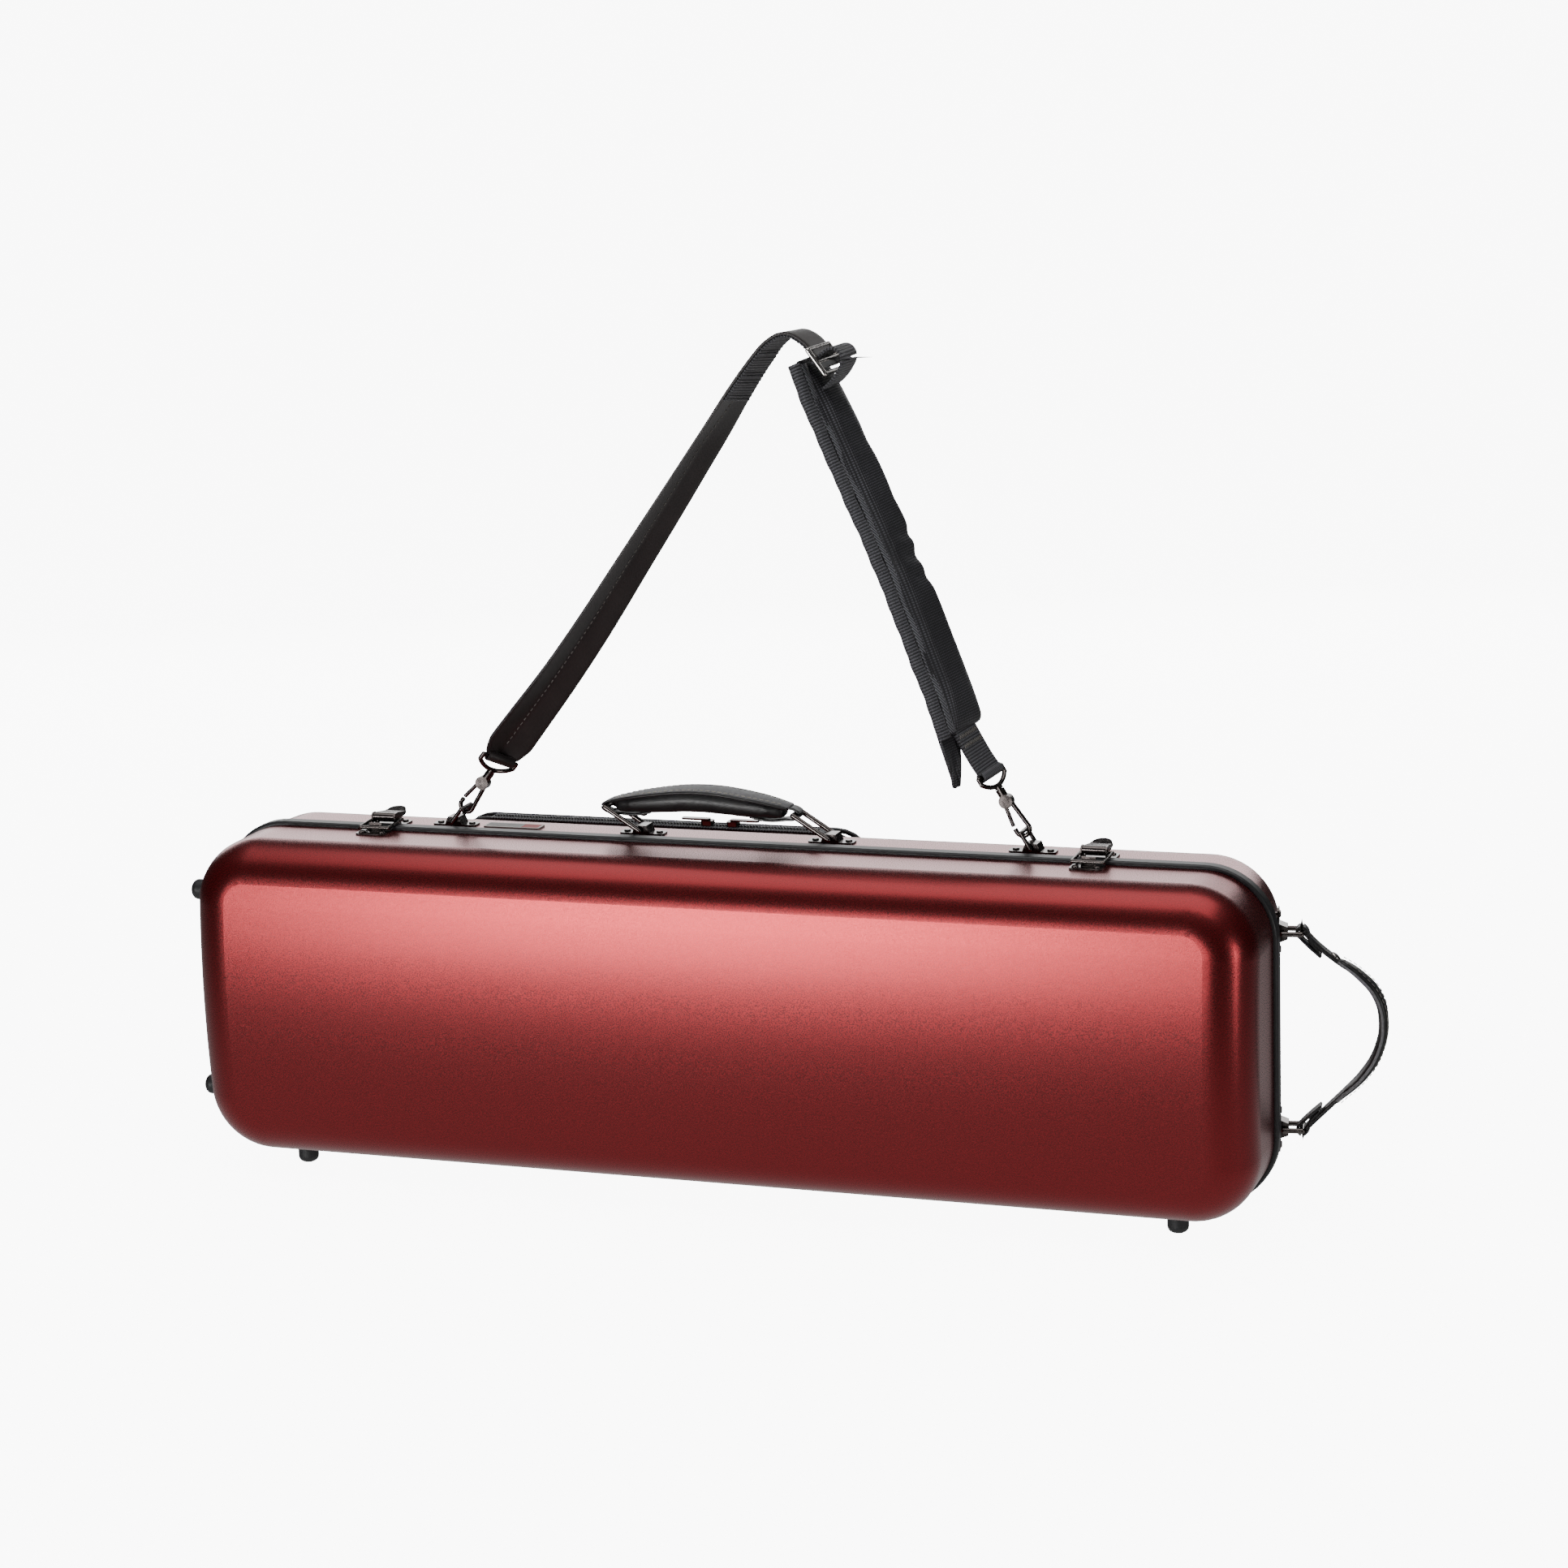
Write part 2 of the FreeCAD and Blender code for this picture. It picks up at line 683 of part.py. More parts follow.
def bracket(wire_radius):
    """Plate with a raised fold that holds the ring's bar, lying on z = 0."""
    half = bracket_length / 2
    f = fold_half_width
    profile = [(-half, 0), (half, 0), (half, plate), (f + 1.6, plate), (f - 0.6, fold_height),
               (0.6 - f, fold_height), (-f - 1.6, plate), (-half, plate)]
    shape = prism_y(profile, -bracket_width / 2, bracket_width / 2)
    bar = rod(V(0, -20, ring_axis_height), V(0, 20, ring_axis_height), wire_radius + fit)
    holes = []
    for side in (-1, 1):
        hole = rod(V(side * bracket_hole, 0, -1), V(side * bracket_hole, 0, 5), rivet_radius + fit)
        holes.append(hole)
    shape = slab_fillet(shape, 3, lambda e: abs(e.CenterOfMass.x) > half - 0.1
                        and abs(e.tangentAt(e.FirstParameter).z) > 0.9)
    return shape.cut([bar] + holes)


def ring(wire_radius, length, lean):
    """Rectangular wire ring that stands from its bar at the origin, leaning about Y."""
    h = ring_half_width
    corners = [V(0, -h, 0), V(0, h, 0), V(0, h, length), V(0, -h, length)]
    return turned(wire_frame(corners, wire_radius), V(0, 1, 0), lean)


def make_strap_rings():
    shapes = [moved(bracket(strap_ring_wire), x, hardware_y, top_z) for x in strap_centres]
    save("strap_brackets", *shapes)
    for name, x, lean in (("left", -strap_offset, left_leg_angle), ("right", strap_offset, right_leg_angle)):
        loop = ring(strap_ring_wire, strap_ring_length, lean)
        save("strap_ring_" + name, moved(loop, x, hardware_y, ring_axis_z))


def make_carry_handle():
    shapes = [moved(bracket(handle_ring_wire), x, hardware_y, top_z) for x in handle_centres]
    save("handle_brackets", *shapes)
    loop = ring(handle_ring_wire, handle_ring_length, -handle_lean)
    for name, x in zip(("left", "right"), handle_centres):
        save("handle_ring_" + name, moved(loop, x, hardware_y, ring_axis_z))
    lean = math.radians(handle_lean)
    grip_x = -handle_ring_length * math.sin(lean)
    grip_z = ring_axis_z + handle_ring_length * math.cos(lean)
    save("handle_grip", moved(grip(), grip_x, hardware_y, grip_z))


def grip():
    """Padded leather grip; both ring bars lie at z = 0, handle_half_span from the middle."""
    stations = [(-60, 7.0, 4.6, 3.0), (-44, 12.0, 6.8, 4.6), (-20, grip_half_width, grip_half_height, grip_rise),
                (20, grip_half_width, grip_half_height, grip_rise), (44, 12.0, 6.8, 4.6), (60, 7.0, 4.6, 3.0)]
    sections = []
    for x, half_width, half_height_here, rise in stations:
        oval = Part.Ellipse(V(0, 0, 0), half_width, half_height_here).toShape()
        section = Part.Wire([oval])
        section.rotate(V(0, 0, 0), V(1, 0, 0), 90)
        section.rotate(V(0, 0, 0), V(0, 0, 1), 90)
        section.translate(V(x, 0, rise))
        sections.append(section)
    body = Part.makeLoft(sections, True, False)
    pieces = [body]
    w = grip_tab_half_width
    bars = []
    for side in (-1, 1):
        x = side * handle_half_span
        pieces.append(rod(V(x, -w, 0), V(x, w, 0), grip_tab_radius))
        tongue = prism_y([(x, -grip_tab_radius + 0.6), (x, grip_tab_radius), (side * 52, 6.5),
                          (side * 52, 1.0)], -w, w)
        pieces.append(tongue)
        bars.append(rod(V(x, -20, 0), V(x, 20, 0), handle_ring_wire + fit))
    return fused(pieces).cut(bars)


def mirrored(point):
    return V(-point.x, point.y, point.z)


def end_strap():
    """Leather end handle, flat and broad in the middle, round its two ring bars."""
    span = end_half_span
    rise = end_strap_reach - end_pad_thickness / 2
    shoulder = V(-span + 24, 0, rise - 11)
    knee = V(-span + 42, 0, rise)
    start = V(-span, 0, 0)
    bend = V(-span + 33, 0, rise - 3.6)
    edges = [Part.makeLine(start, shoulder), arc(shoulder, bend, knee),
             Part.makeLine(knee, mirrored(knee)),
             arc(mirrored(knee), mirrored(bend), mirrored(shoulder)),
             Part.makeLine(mirrored(shoulder), mirrored(start))]
    narrow = swept_band(edges, end_strap_width, end_strap_thickness)
    broad = swept_band(edges[1:4], end_pad_width, end_pad_thickness)
    pieces = [narrow, broad]
    bars = []
    for side in (-1, 1):
        x = side * span
        half = end_strap_width / 2
        pieces.append(rod(V(x, -half, 0), V(x, half, 0), 3.8))
        bars.append(rod(V(x, -20, 0), V(x, 20, 0), handle_ring_wire + fit))
    return fused(pieces).cut(bars)


def swept_band(edges, width, thickness):
    """Flat band of the given width along Y that follows a path in the XZ plane."""
    path = Part.Wire(edges)
    start = edges[0].valueAt(edges[0].FirstParameter)
    along = edges[0].tangentAt(edges[0].FirstParameter)
    across = V(-along.z, 0, along.x)
    side = V(0, width / 2, 0)
    thick = across * (thickness / 2)
    corners = [start + side + thick, start + side - thick, start - side - thick, start - side + thick]
    profile = Part.makePolygon(corners + corners[:1])
    return path.makePipeShell([profile], True, False, 1)


def make_end_handle():
    shapes = []
    for centre in (-end_half_span, end_half_span):
        shapes.append(on_end_wall(bracket(handle_ring_wire), mid_z + centre))
    save("end_brackets", *shapes)
    loop = moved(ring(handle_ring_wire, end_ring_length, 0), 0, 0, ring_axis_height)
    save("end_ring_upper", on_end_wall(loop, mid_z + end_half_span))
    save("end_ring_lower", on_end_wall(loop, mid_z - end_half_span))
    strap = moved(end_strap(), 0, 0, ring_axis_height + end_ring_length)
    strap = on_end_wall(strap, mid_z)
    save("end_strap", strap)


# ---------------------------------------------------------------- shoulder strap


def in_leg_frame(shape, angle, x):
    """Put a piece made along +Z on the line of a strap leg, from its bracket's bar."""
    return moved(turned(shape, V(0, 1, 0), angle), x, hardware_y, ring_axis_z)


hook_bottom = strap_ring_length - strap_ring_wire - hook_wire - 0.3


def hook_body():
    """Bow, head and barrel of a snap hook; the gate side is -X."""
    r = hook_bow_radius
    centre = hook_bottom + r
    nose = V(-r, 0, centre + 2.6)
    low = V(-r, 0, centre)
    bottom = V(0, 0, hook_bottom)
    right = V(r, 0, centre)
    shank = V(2.6, 0, hook_pivot - 2)
    path = [Part.makeLine(nose, low), arc(low, bottom, right), Part.makeLine(right, shank)]
    bow = round_bar(path, hook_wire)
    head = rod(V(0, -3.4, hook_pivot), V(0, 3.4, hook_pivot), 5.0)
    barrel = Part.makeCylinder(3.3, hook_barrel - hook_pivot, V(0, 0, hook_pivot))
    slot = block(-8, 1.0, -1.9, 1.9, hook_pivot - 8, hook_pivot + 3.2)
    bore = Part.makeCylinder(1.5 + fit, 20, V(0, 0, hook_pivot + 5))
    pin = rod(V(-2.2, -5, hook_pivot), V(-2.2, 5, hook_pivot), 0.9 + fit)
    return fused([bow, head.fuse(barrel).cut(slot)]).cut([bore, pin])


def hook_gate():
    """Sprung gate from the head to the nose of the bow."""
    tip = V(-hook_bow_radius, 0, hook_bottom + hook_bow_radius + 4.6)
    pivot = V(-2.2, 0, hook_pivot)
    hub = rod(V(-2.2, -1.6, hook_pivot), V(-2.2, 1.6, hook_pivot), 2.2)
    arm = rod(tip, pivot, 1.5)
    bore = rod(V(-2.2, -5, hook_pivot), V(-2.2, 5, hook_pivot), 0.9 + fit)
    return fused([hub, arm]).cut(bore)


def hook_pin():
    return rod(V(-2.2, -3.9, hook_pivot), V(-2.2, 3.9, hook_pivot), 0.9)


def hook_eye():
    """Swivel eye: stud in the barrel, collar and the D-shaped loop for the webbing."""
    stud = Part.makeCylinder(1.5, 8, V(0, 0, hook_pivot + 5.5))
    collar = Part.makeCylinder(3.0, 3.0, V(0, 0, hook_barrel + 0.3))
    w = eye_half_width
    low = hook_barrel + 3.0
    corner = V(-w, 0, eye_bar - 4.5)
    far = V(w, 0, eye_bar - 4.5)
    left = V(-w, 0, eye_bar)
    right = V(w, 0, eye_bar)
    path = [arc(corner, V(0, 0, low), far), Part.makeLine(far, right), Part.makeLine(right, left),
            Part.makeLine(left, corner)]
    return fused([stud, collar, round_bar(path, eye_wire, closed=True)])


def strap_solid(stations, thickness):
    """Flat band through stations (x, y, z, width, lean, turn).

    lean is the direction of travel from +Z towards +X, and turn swings the band's width
    from the Y axis towards the side of the leg.
    """
    sections = []
    for x, y, z, width, lean, turn in stations:
        a = math.radians(lean)
        t = math.radians(turn)
        side = V(math.cos(a), 0, -math.sin(a))
        half = (V(0, 1, 0) * math.cos(t) + side * math.sin(t)) * (width / 2)
        along = V(math.sin(a), 0, math.cos(a))
        thick = along.cross(half).normalize() * (thickness / 2)
        c = V(x, y, z)
        corners = [c + half + thick, c - half + thick, c - half - thick, c + half - thick]
        sections.append(Part.makePolygon(corners + corners[:1]))
    return Part.makeLoft(sections, True, True)


def leg_point(x, angle, distance):
    """Point on the line of a strap leg, measured from its bracket's bar."""
    a = math.radians(angle)
    return V(x + distance * math.sin(a), hardware_y, ring_axis_z + distance * math.cos(a))


def eye_loop(angle, x, turn, width):
    """Webbing barrel sewn round the eye's bar."""
    half = width / 2
    tube = rod(V(-half, 0, eye_bar), V(half, 0, eye_bar), eye_wire + 2.4)
    tube = tube.cut(rod(V(-half - 1, 0, eye_bar), V(half + 1, 0, eye_bar), eye_wire + 0.1))
    return in_leg_frame(turned(tube, V(0, 0, 1), 90 - turn), angle, x)


apex_z = top_z + strap_apex_rise
buckle_x = apex_x + 25
buckle_z = apex_z - 21
pad_top = V(apex_x + 14, hardware_y, apex_z - 24)


def make_shoulder_strap():
    bodies = {}
    for name, x, angle, turn in (("left", -strap_offset, left_leg_angle, left_turn),
                                 ("right", strap_offset, right_leg_angle, right_turn)):
        save("snap_hook_" + name, in_leg_frame(hook_body(), angle, x))
        save("snap_gate_" + name, in_leg_frame(hook_gate(), angle, x))
        save("snap_eye_" + name, in_leg_frame(turned(hook_eye(), V(0, 0, 1), 90 - turn), angle, x))
        bodies[name] = in_leg_frame(hook_pin(), angle, x)
    save("snap_gate_pins", bodies["left"], bodies["right"])
    start = leg_point(-strap_offset, left_leg_angle, eye_bar + eye_wire + 2.2)
    full = leg_point(-strap_offset, left_leg_angle, eye_bar + 20)
    y = hardware_y
    lean = left_leg_angle - 1.2
    left = strap_solid([(start.x, y, start.z, 24, lean, left_turn),
                        (full.x, y, full.z, strap_width, lean, left_turn),
                        (-64, y, full.z + 142, strap_width, lean, 24),
                        (apex_x - 22, y, apex_z - 22, strap_width, lean, 8),
                        (apex_x - 11, y, apex_z - 8.0, strap_width, 50, 4),
                        (apex_x, y, apex_z - strap_thickness / 2, strap_width, 90, 0),
                        (apex_x + 14, y, apex_z - 7, strap_width, 128, 0)], strap_thickness)
    save("strap_leg", fused([left, eye_loop(left_leg_angle, -strap_offset, left_turn, 24)]))
    end = leg_point(strap_offset, right_leg_angle, eye_bar + eye_wire + 2.2)
    tail = leg_point(strap_offset, right_leg_angle, eye_bar + 34)
    right = strap_solid([(end.x, y, end.z, 25, right_leg_angle, right_turn),
                         (tail.x, y, tail.z, 25, right_leg_angle + 4, right_turn)], 4.0)
    save("strap_end_loop", fused([right, eye_loop(right_leg_angle, strap_offset, right_turn, 25)]))
    make_buckle()
    make_shoulder_pad(tail)


def make_buckle():
    """Slide buckle: outer frame and middle bar, lying on the strap below the apex."""
    h = buckle_half_width
    k = buckle_half_length
    frame = wire_frame([V(-h, -k, 0), V(h, -k, 0), V(h, k, 0), V(-h, k, 0)], buckle_wire)
    bar = rod(V(0, -k, 0), V(0, k, 0), buckle_wire)
    shape = turned(fused([frame, bar]), V(0, 1, 0), 54)
    save("slide_buckle", moved(shape, buckle_x, hardware_y, buckle_z))


def make_shoulder_pad(tail):
    """Padded sleeve on the right leg, with a loose pointed flap at its lower end."""
    y = hardware_y
    t = right_turn
    top = pad_top
    run = tail - top
    lean = math.degrees(math.atan2(-run.x, -run.z))
    stations = []
    for share, width, bow, turn in ((0.03, 40, 0, 6), (0.14, pad_width, 1.5, 14), (0.5, pad_width, 3.0, t),
                                    (0.86, pad_width, 0.5, t), (0.995, 44, 0, t)):
        c = top + run * share
        stations.append((c.x + bow, y, c.z, width, lean, turn))
    save("shoulder_pad", strap_solid(stations, pad_thickness))


# ---------------------------------------------------------------- feet, badge, pocket


def foot(height):
    """Rubber foot that hangs down from z = 0: washer, neck and domed end."""
    stem = Part.makeCylinder(foot_radius, height, V(0, 0, -height))
    stem = stem.makeFillet(4.6, [e for e in stem.Edges if e.BoundBox.ZMax < 0.5 - height])
    washer = Part.makeCylinder(foot_radius + 0.9, 2.2, V(0, 0, -2.2))
    return stem.fuse(washer).removeSplitter()


def make_feet():
    lid_feet = []
    base_feet = []
    below = foot(foot_height)
    for x in (-foot_offset, foot_offset):
        lid_feet.append(moved(below, x, lid_foot_y, foot_height))
        base_feet.append(moved(below, x, base_foot_y, foot_height))
    skirt = Part.makeCylinder(foot_radius + 0.9, 12, V(0, 0, 0))
    skirt = turned(foot(end_foot_height).fuse(skirt), V(0, 1, 0), 90)
    base = base_tub(0, 0)
    lid = lid_tub(0, 0)
    for rise in (-end_foot_rise, end_foot_rise):
        lid_feet.append(moved(skirt, -half_length, lid_end_foot_y, mid_z + rise).cut(lid))
        base_feet.append(moved(skirt, -half_length, base_foot_y - 10, mid_z + rise).cut(base))
    save("lid_feet", *lid_feet)
    save("base_feet", *base_feet)


def make_badge():
    x0 = -196.0
    x1 = -152.0
    badge = block(x0, x1, hardware_y - 6.5, hardware_y + 6.5, top_z, top_z + 1.2)
    badge = slab_fillet(badge, 1.5, lambda e: abs(e.tangentAt(e.FirstParameter).z) > 0.9)
    save("blank_badge", badge)


pocket_top = top_z - pocket_top_drop
zip_y = pocket_back - pocket_edge - zip_width / 2 - 0.5


def make_pocket():
    """Padded pocket on the back of the base, with a zip along its top edge."""
    x0 = pocket_center - pocket_length / 2
    x1 = pocket_center + pocket_length / 2
    bag = block(x0, x1, base_depth - 30, pocket_back, pocket_top - pocket_height, pocket_top)
    bag = slab_fillet(bag, 26, lambda e: abs(e.tangentAt(e.FirstParameter).y) > 0.9)
    bag = slab_fillet(bag, pocket_edge, lambda e: e.BoundBox.YMin > pocket_back - 0.1)
    save("rear_pocket", bag.cut(base_tub(0, 0)))
    z0 = x0 + 30
    z1 = x1 - 30
    tape = block(z0, z1, zip_y - zip_width / 2, zip_y + zip_width / 2, pocket_top, pocket_top + zip_thickness)
    coil = block(z0, z1, zip_y - zip_tooth_width / 2, zip_y + zip_tooth_width / 2,
                 pocket_top + zip_thickness, pocket_top + zip_thickness + zip_tooth_height)
    save("pocket_zip", tape.fuse(coil).removeSplitter())
    middle = (z0 + z1) / 2 + 50
    for name, x, side in (("left", middle - 10, -1), ("right", middle + 10, 1)):
        save("zip_slider_" + name, zip_slider(x, side))


def zip_slider(x, side):
    """Slider over the coil with its pull lying along the tape."""
    z0 = pocket_top + zip_thickness + slider_gap
    half = slider_length / 2
    w = zip_tooth_width / 2 + slider_gap
    body = block(x - half, x + half, zip_y - 4, zip_y + 4, z0, z0 + zip_tooth_height + 2.2)
    channel = block(x - half - 1, x + half + 1, zip_y - w, zip_y + w, z0 - 1, z0 + zip_tooth_height + slider_gap)
    body = slab_fillet(body, 2, lambda e: abs(e.tangentAt(e.FirstParameter).z) > 0.9).cut(channel)
    z1 = z0 + zip_tooth_height + 2.2
    a = x - side * 2
    b = x + side * 20
    pull = block(min(a, b), max(a, b), zip_y - 2.6, zip_y + 2.6, z1, z1 + 1.4)
    pull = slab_fillet(pull, 1.8, lambda e: abs(e.tangentAt(e.FirstParameter).z) > 0.9)
    return fused([body, pull])


make_shells()
make_band()
make_seal()
make_foam()
make_lid_lining()
make_neck_cradle()
make_accessory_lid()
make_bow_holders()
make_hinges()
make_rivets()
make_latches()
make_strap_rings()
make_carry_handle()
make_end_handle()
make_shoulder_strap()
make_feet()
make_badge()
make_pocket()
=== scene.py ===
import math

import bpy
from mathutils import Matrix, Vector


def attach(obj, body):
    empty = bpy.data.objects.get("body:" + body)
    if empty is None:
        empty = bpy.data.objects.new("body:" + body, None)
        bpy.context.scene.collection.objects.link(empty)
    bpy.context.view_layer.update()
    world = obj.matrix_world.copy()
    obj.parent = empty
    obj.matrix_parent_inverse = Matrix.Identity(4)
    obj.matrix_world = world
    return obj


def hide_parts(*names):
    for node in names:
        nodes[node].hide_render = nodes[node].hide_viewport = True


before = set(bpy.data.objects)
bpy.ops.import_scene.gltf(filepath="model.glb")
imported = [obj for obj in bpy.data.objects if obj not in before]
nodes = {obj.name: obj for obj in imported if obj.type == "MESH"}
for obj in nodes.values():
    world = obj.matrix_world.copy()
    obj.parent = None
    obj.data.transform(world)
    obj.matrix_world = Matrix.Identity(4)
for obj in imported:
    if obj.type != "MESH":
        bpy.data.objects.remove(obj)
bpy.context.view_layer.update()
mm = 0.001
print("frame loaded:", len(nodes), "nodes")


# small helpers

def linear(code):  # sRGB hex to linear
    channels = [int(code[i:i + 2], 16) / 255 for i in (1, 3, 5)]
    channels = [c / 12.92 if c < 0.04045 else ((c + 0.055) / 1.055) ** 2.4 for c in channels]
    return (*channels, 1)


def addNode(tree, kind, inputs={}, **settings):
    node = tree.nodes.new("ShaderNode" + kind)
    for key, value in settings.items():
        setattr(node, key, value)
    for key, value in inputs.items():
        if isinstance(value, bpy.types.NodeSocket):
            tree.links.new(value, node.inputs[key])
        else:
            node.inputs[key].default_value = value
    return node


def newMaterial(name, **surface):
    material = bpy.data.materials.new(name)
    material.use_nodes = True
    tree = material.node_tree
    shader = tree.nodes["Principled BSDF"]
    for key, value in surface.items():
        shader.inputs[key.replace("_", " ")].default_value = value
    return material, tree


def feed(tree, output, socketName):  # joins an output to the shader
    tree.links.new(output, tree.nodes["Principled BSDF"].inputs[socketName])


def tint(tree, factor, dark, light):  # base colour between two tones
    tone = addNode(tree, "Mix", {0: factor, 6: linear(dark), 7: linear(light)}, data_type="RGBA")
    feed(tree, tone.outputs[2], "Base Color")


def emboss(tree, height, strength, distance):
    relief = addNode(tree, "Bump", {"Height": height, "Strength": strength, "Distance": distance})
    feed(tree, relief.outputs[0], "Normal")


def startFresh():
    if bpy.context.mode != "OBJECT":
        bpy.ops.object.mode_set(mode="OBJECT")
    bpy.ops.object.select_all(action="DESELECT")


def primitive(kind, name, **shape):  # adds a mesh primitive and names it
    startFresh()
    getattr(bpy.ops.mesh, "primitive_" + kind + "_add")(**shape)
    piece = bpy.context.active_object
    piece.name = name
    return piece


def only(piece):
    startFresh()
    piece.select_set(True)
    bpy.context.view_layer.objects.active = piece


def modify(piece, kind, **settings):  # adds a modifier and applies it
    only(piece)
    modifier = piece.modifiers.new(kind.lower(), kind)
    for key, value in settings.items():
        setattr(modifier, key, value)
    bpy.ops.object.modifier_apply(modifier=modifier.name)


def joined(name, pieces):
    startFresh()
    for piece in pieces:
        piece.select_set(True)
    bpy.context.view_layer.objects.active = pieces[0]
    bpy.ops.object.join()
    pieces[0].name = name
    return pieces[0]


def copyOf(piece, name):
    twin = piece.copy()
    twin.data = piece.data.copy()
    twin.name = name
    bpy.context.collection.objects.link(twin)
    return twin


def bake(piece):  # puts the place, turn and size of the object into its mesh
    only(piece)
    bpy.ops.object.transform_apply(location=True, rotation=True, scale=True)


def smooth(piece, angle=None):
    only(piece)
    if angle is None:
        bpy.ops.object.shade_smooth()
    else:
        bpy.ops.object.shade_smooth_by_angle(angle=math.radians(angle))


def settle(piece, body, slotName, material, *standsFor):
    bake(piece)
    piece.data.materials.clear()
    piece.data.materials.append(material)
    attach(piece, body)
    if standsFor:
        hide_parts(*standsFor)
    return piece


def route(name, points, tilts):  # a line through points in mm, with a tilt in degrees at each
    curve = bpy.data.curves.new(name, "CURVE")
    curve.dimensions = "3D"
    curve.twist_mode = "Z_UP"
    line = curve.splines.new("BEZIER")
    line.bezier_points.add(len(points) - 1)
    for knot, place, tilt in zip(line.bezier_points, points, tilts):
        knot.co = Vector(place) * mm
        knot.tilt = math.radians(tilt)
        knot.handle_left_type = knot.handle_right_type = "AUTO"
    line.resolution_u = 32
    guide = bpy.data.objects.new(name, curve)
    bpy.context.collection.objects.link(guide)
    bpy.context.view_layer.update()
    return guide, line.calc_length(resolution=64)


def bendAlong(guide, *pieces):  # a piece built straight along X is bent onto the guide
    for piece in pieces:
        modify(piece, "CURVE", object=guide, deform_axis="POS_X")
    bpy.data.objects.remove(guide)


# camera and studio

studio = {
    "target": (17.24, -12.0, 299.5),  # mm
    "back": (0.3308, -0.9190, 0.2147),  # from the target towards the camera
    "distance": 2584.0,  # mm
    "lens": 84.44,
    "roll": -2.0,  # degrees
    "floorColour": "#F6F5F4",
    "floorGlow": 9.0,
    # how bright the room is from straight down (0) to straight up (1)
    "room": ((0.0, 0.6), (0.26, 0.55), (0.36, 0.34), (0.43, 0.02), (0.6, 0.03), (0.8, 0.06), (1.0, 0.3)),
    # name, place (m), point it aims at (m), width, height, power (W)
    "lights": (
        ("frontSoftbox", (-1.0, -2.8, 0.12), (0.0, -0.08, 0.14), 1.0, 0.42, 30),
        ("wideSoftbox", (-0.7, -3.0, 0.14), (0.0, -0.08, 0.14), 2.6, 0.42, 26),
        ("endSoftbox", (2.6, -0.95, 0.3), (0.4, -0.05, 0.14), 0.3, 1.0, 12),
        ("overheadSoftbox", (0.0, -0.2, 2.6), (0.0, 0.0, 0.0), 3.0, 2.2, 42),
        ("backSoftbox", (-0.8, 2.2, 0.8), (0.0, 0.0, 0.26), 3.2, 0.9, 26),
    ),
}


def placeCamera():
    back = Vector(studio["back"]).normalized()
    level = Vector((0, 0, 1)).cross(back).normalized()
    rise = back.cross(level)
    turn = math.radians(studio["roll"])
    across = level * math.cos(turn) + rise * math.sin(turn)
    upward = rise * math.cos(turn) - level * math.sin(turn)
    place = (Vector(studio["target"]) + back * studio["distance"]) * mm
    facing = Matrix((across, upward, back)).transposed().to_4x4()
    bpy.ops.object.camera_add()
    camera = bpy.context.active_object
    camera.matrix_world = Matrix.Translation(place) @ facing
    camera.data.lens = studio["lens"]
    camera.data.sensor_width = 36
    camera.data.clip_end = 100
    bpy.context.scene.camera = camera


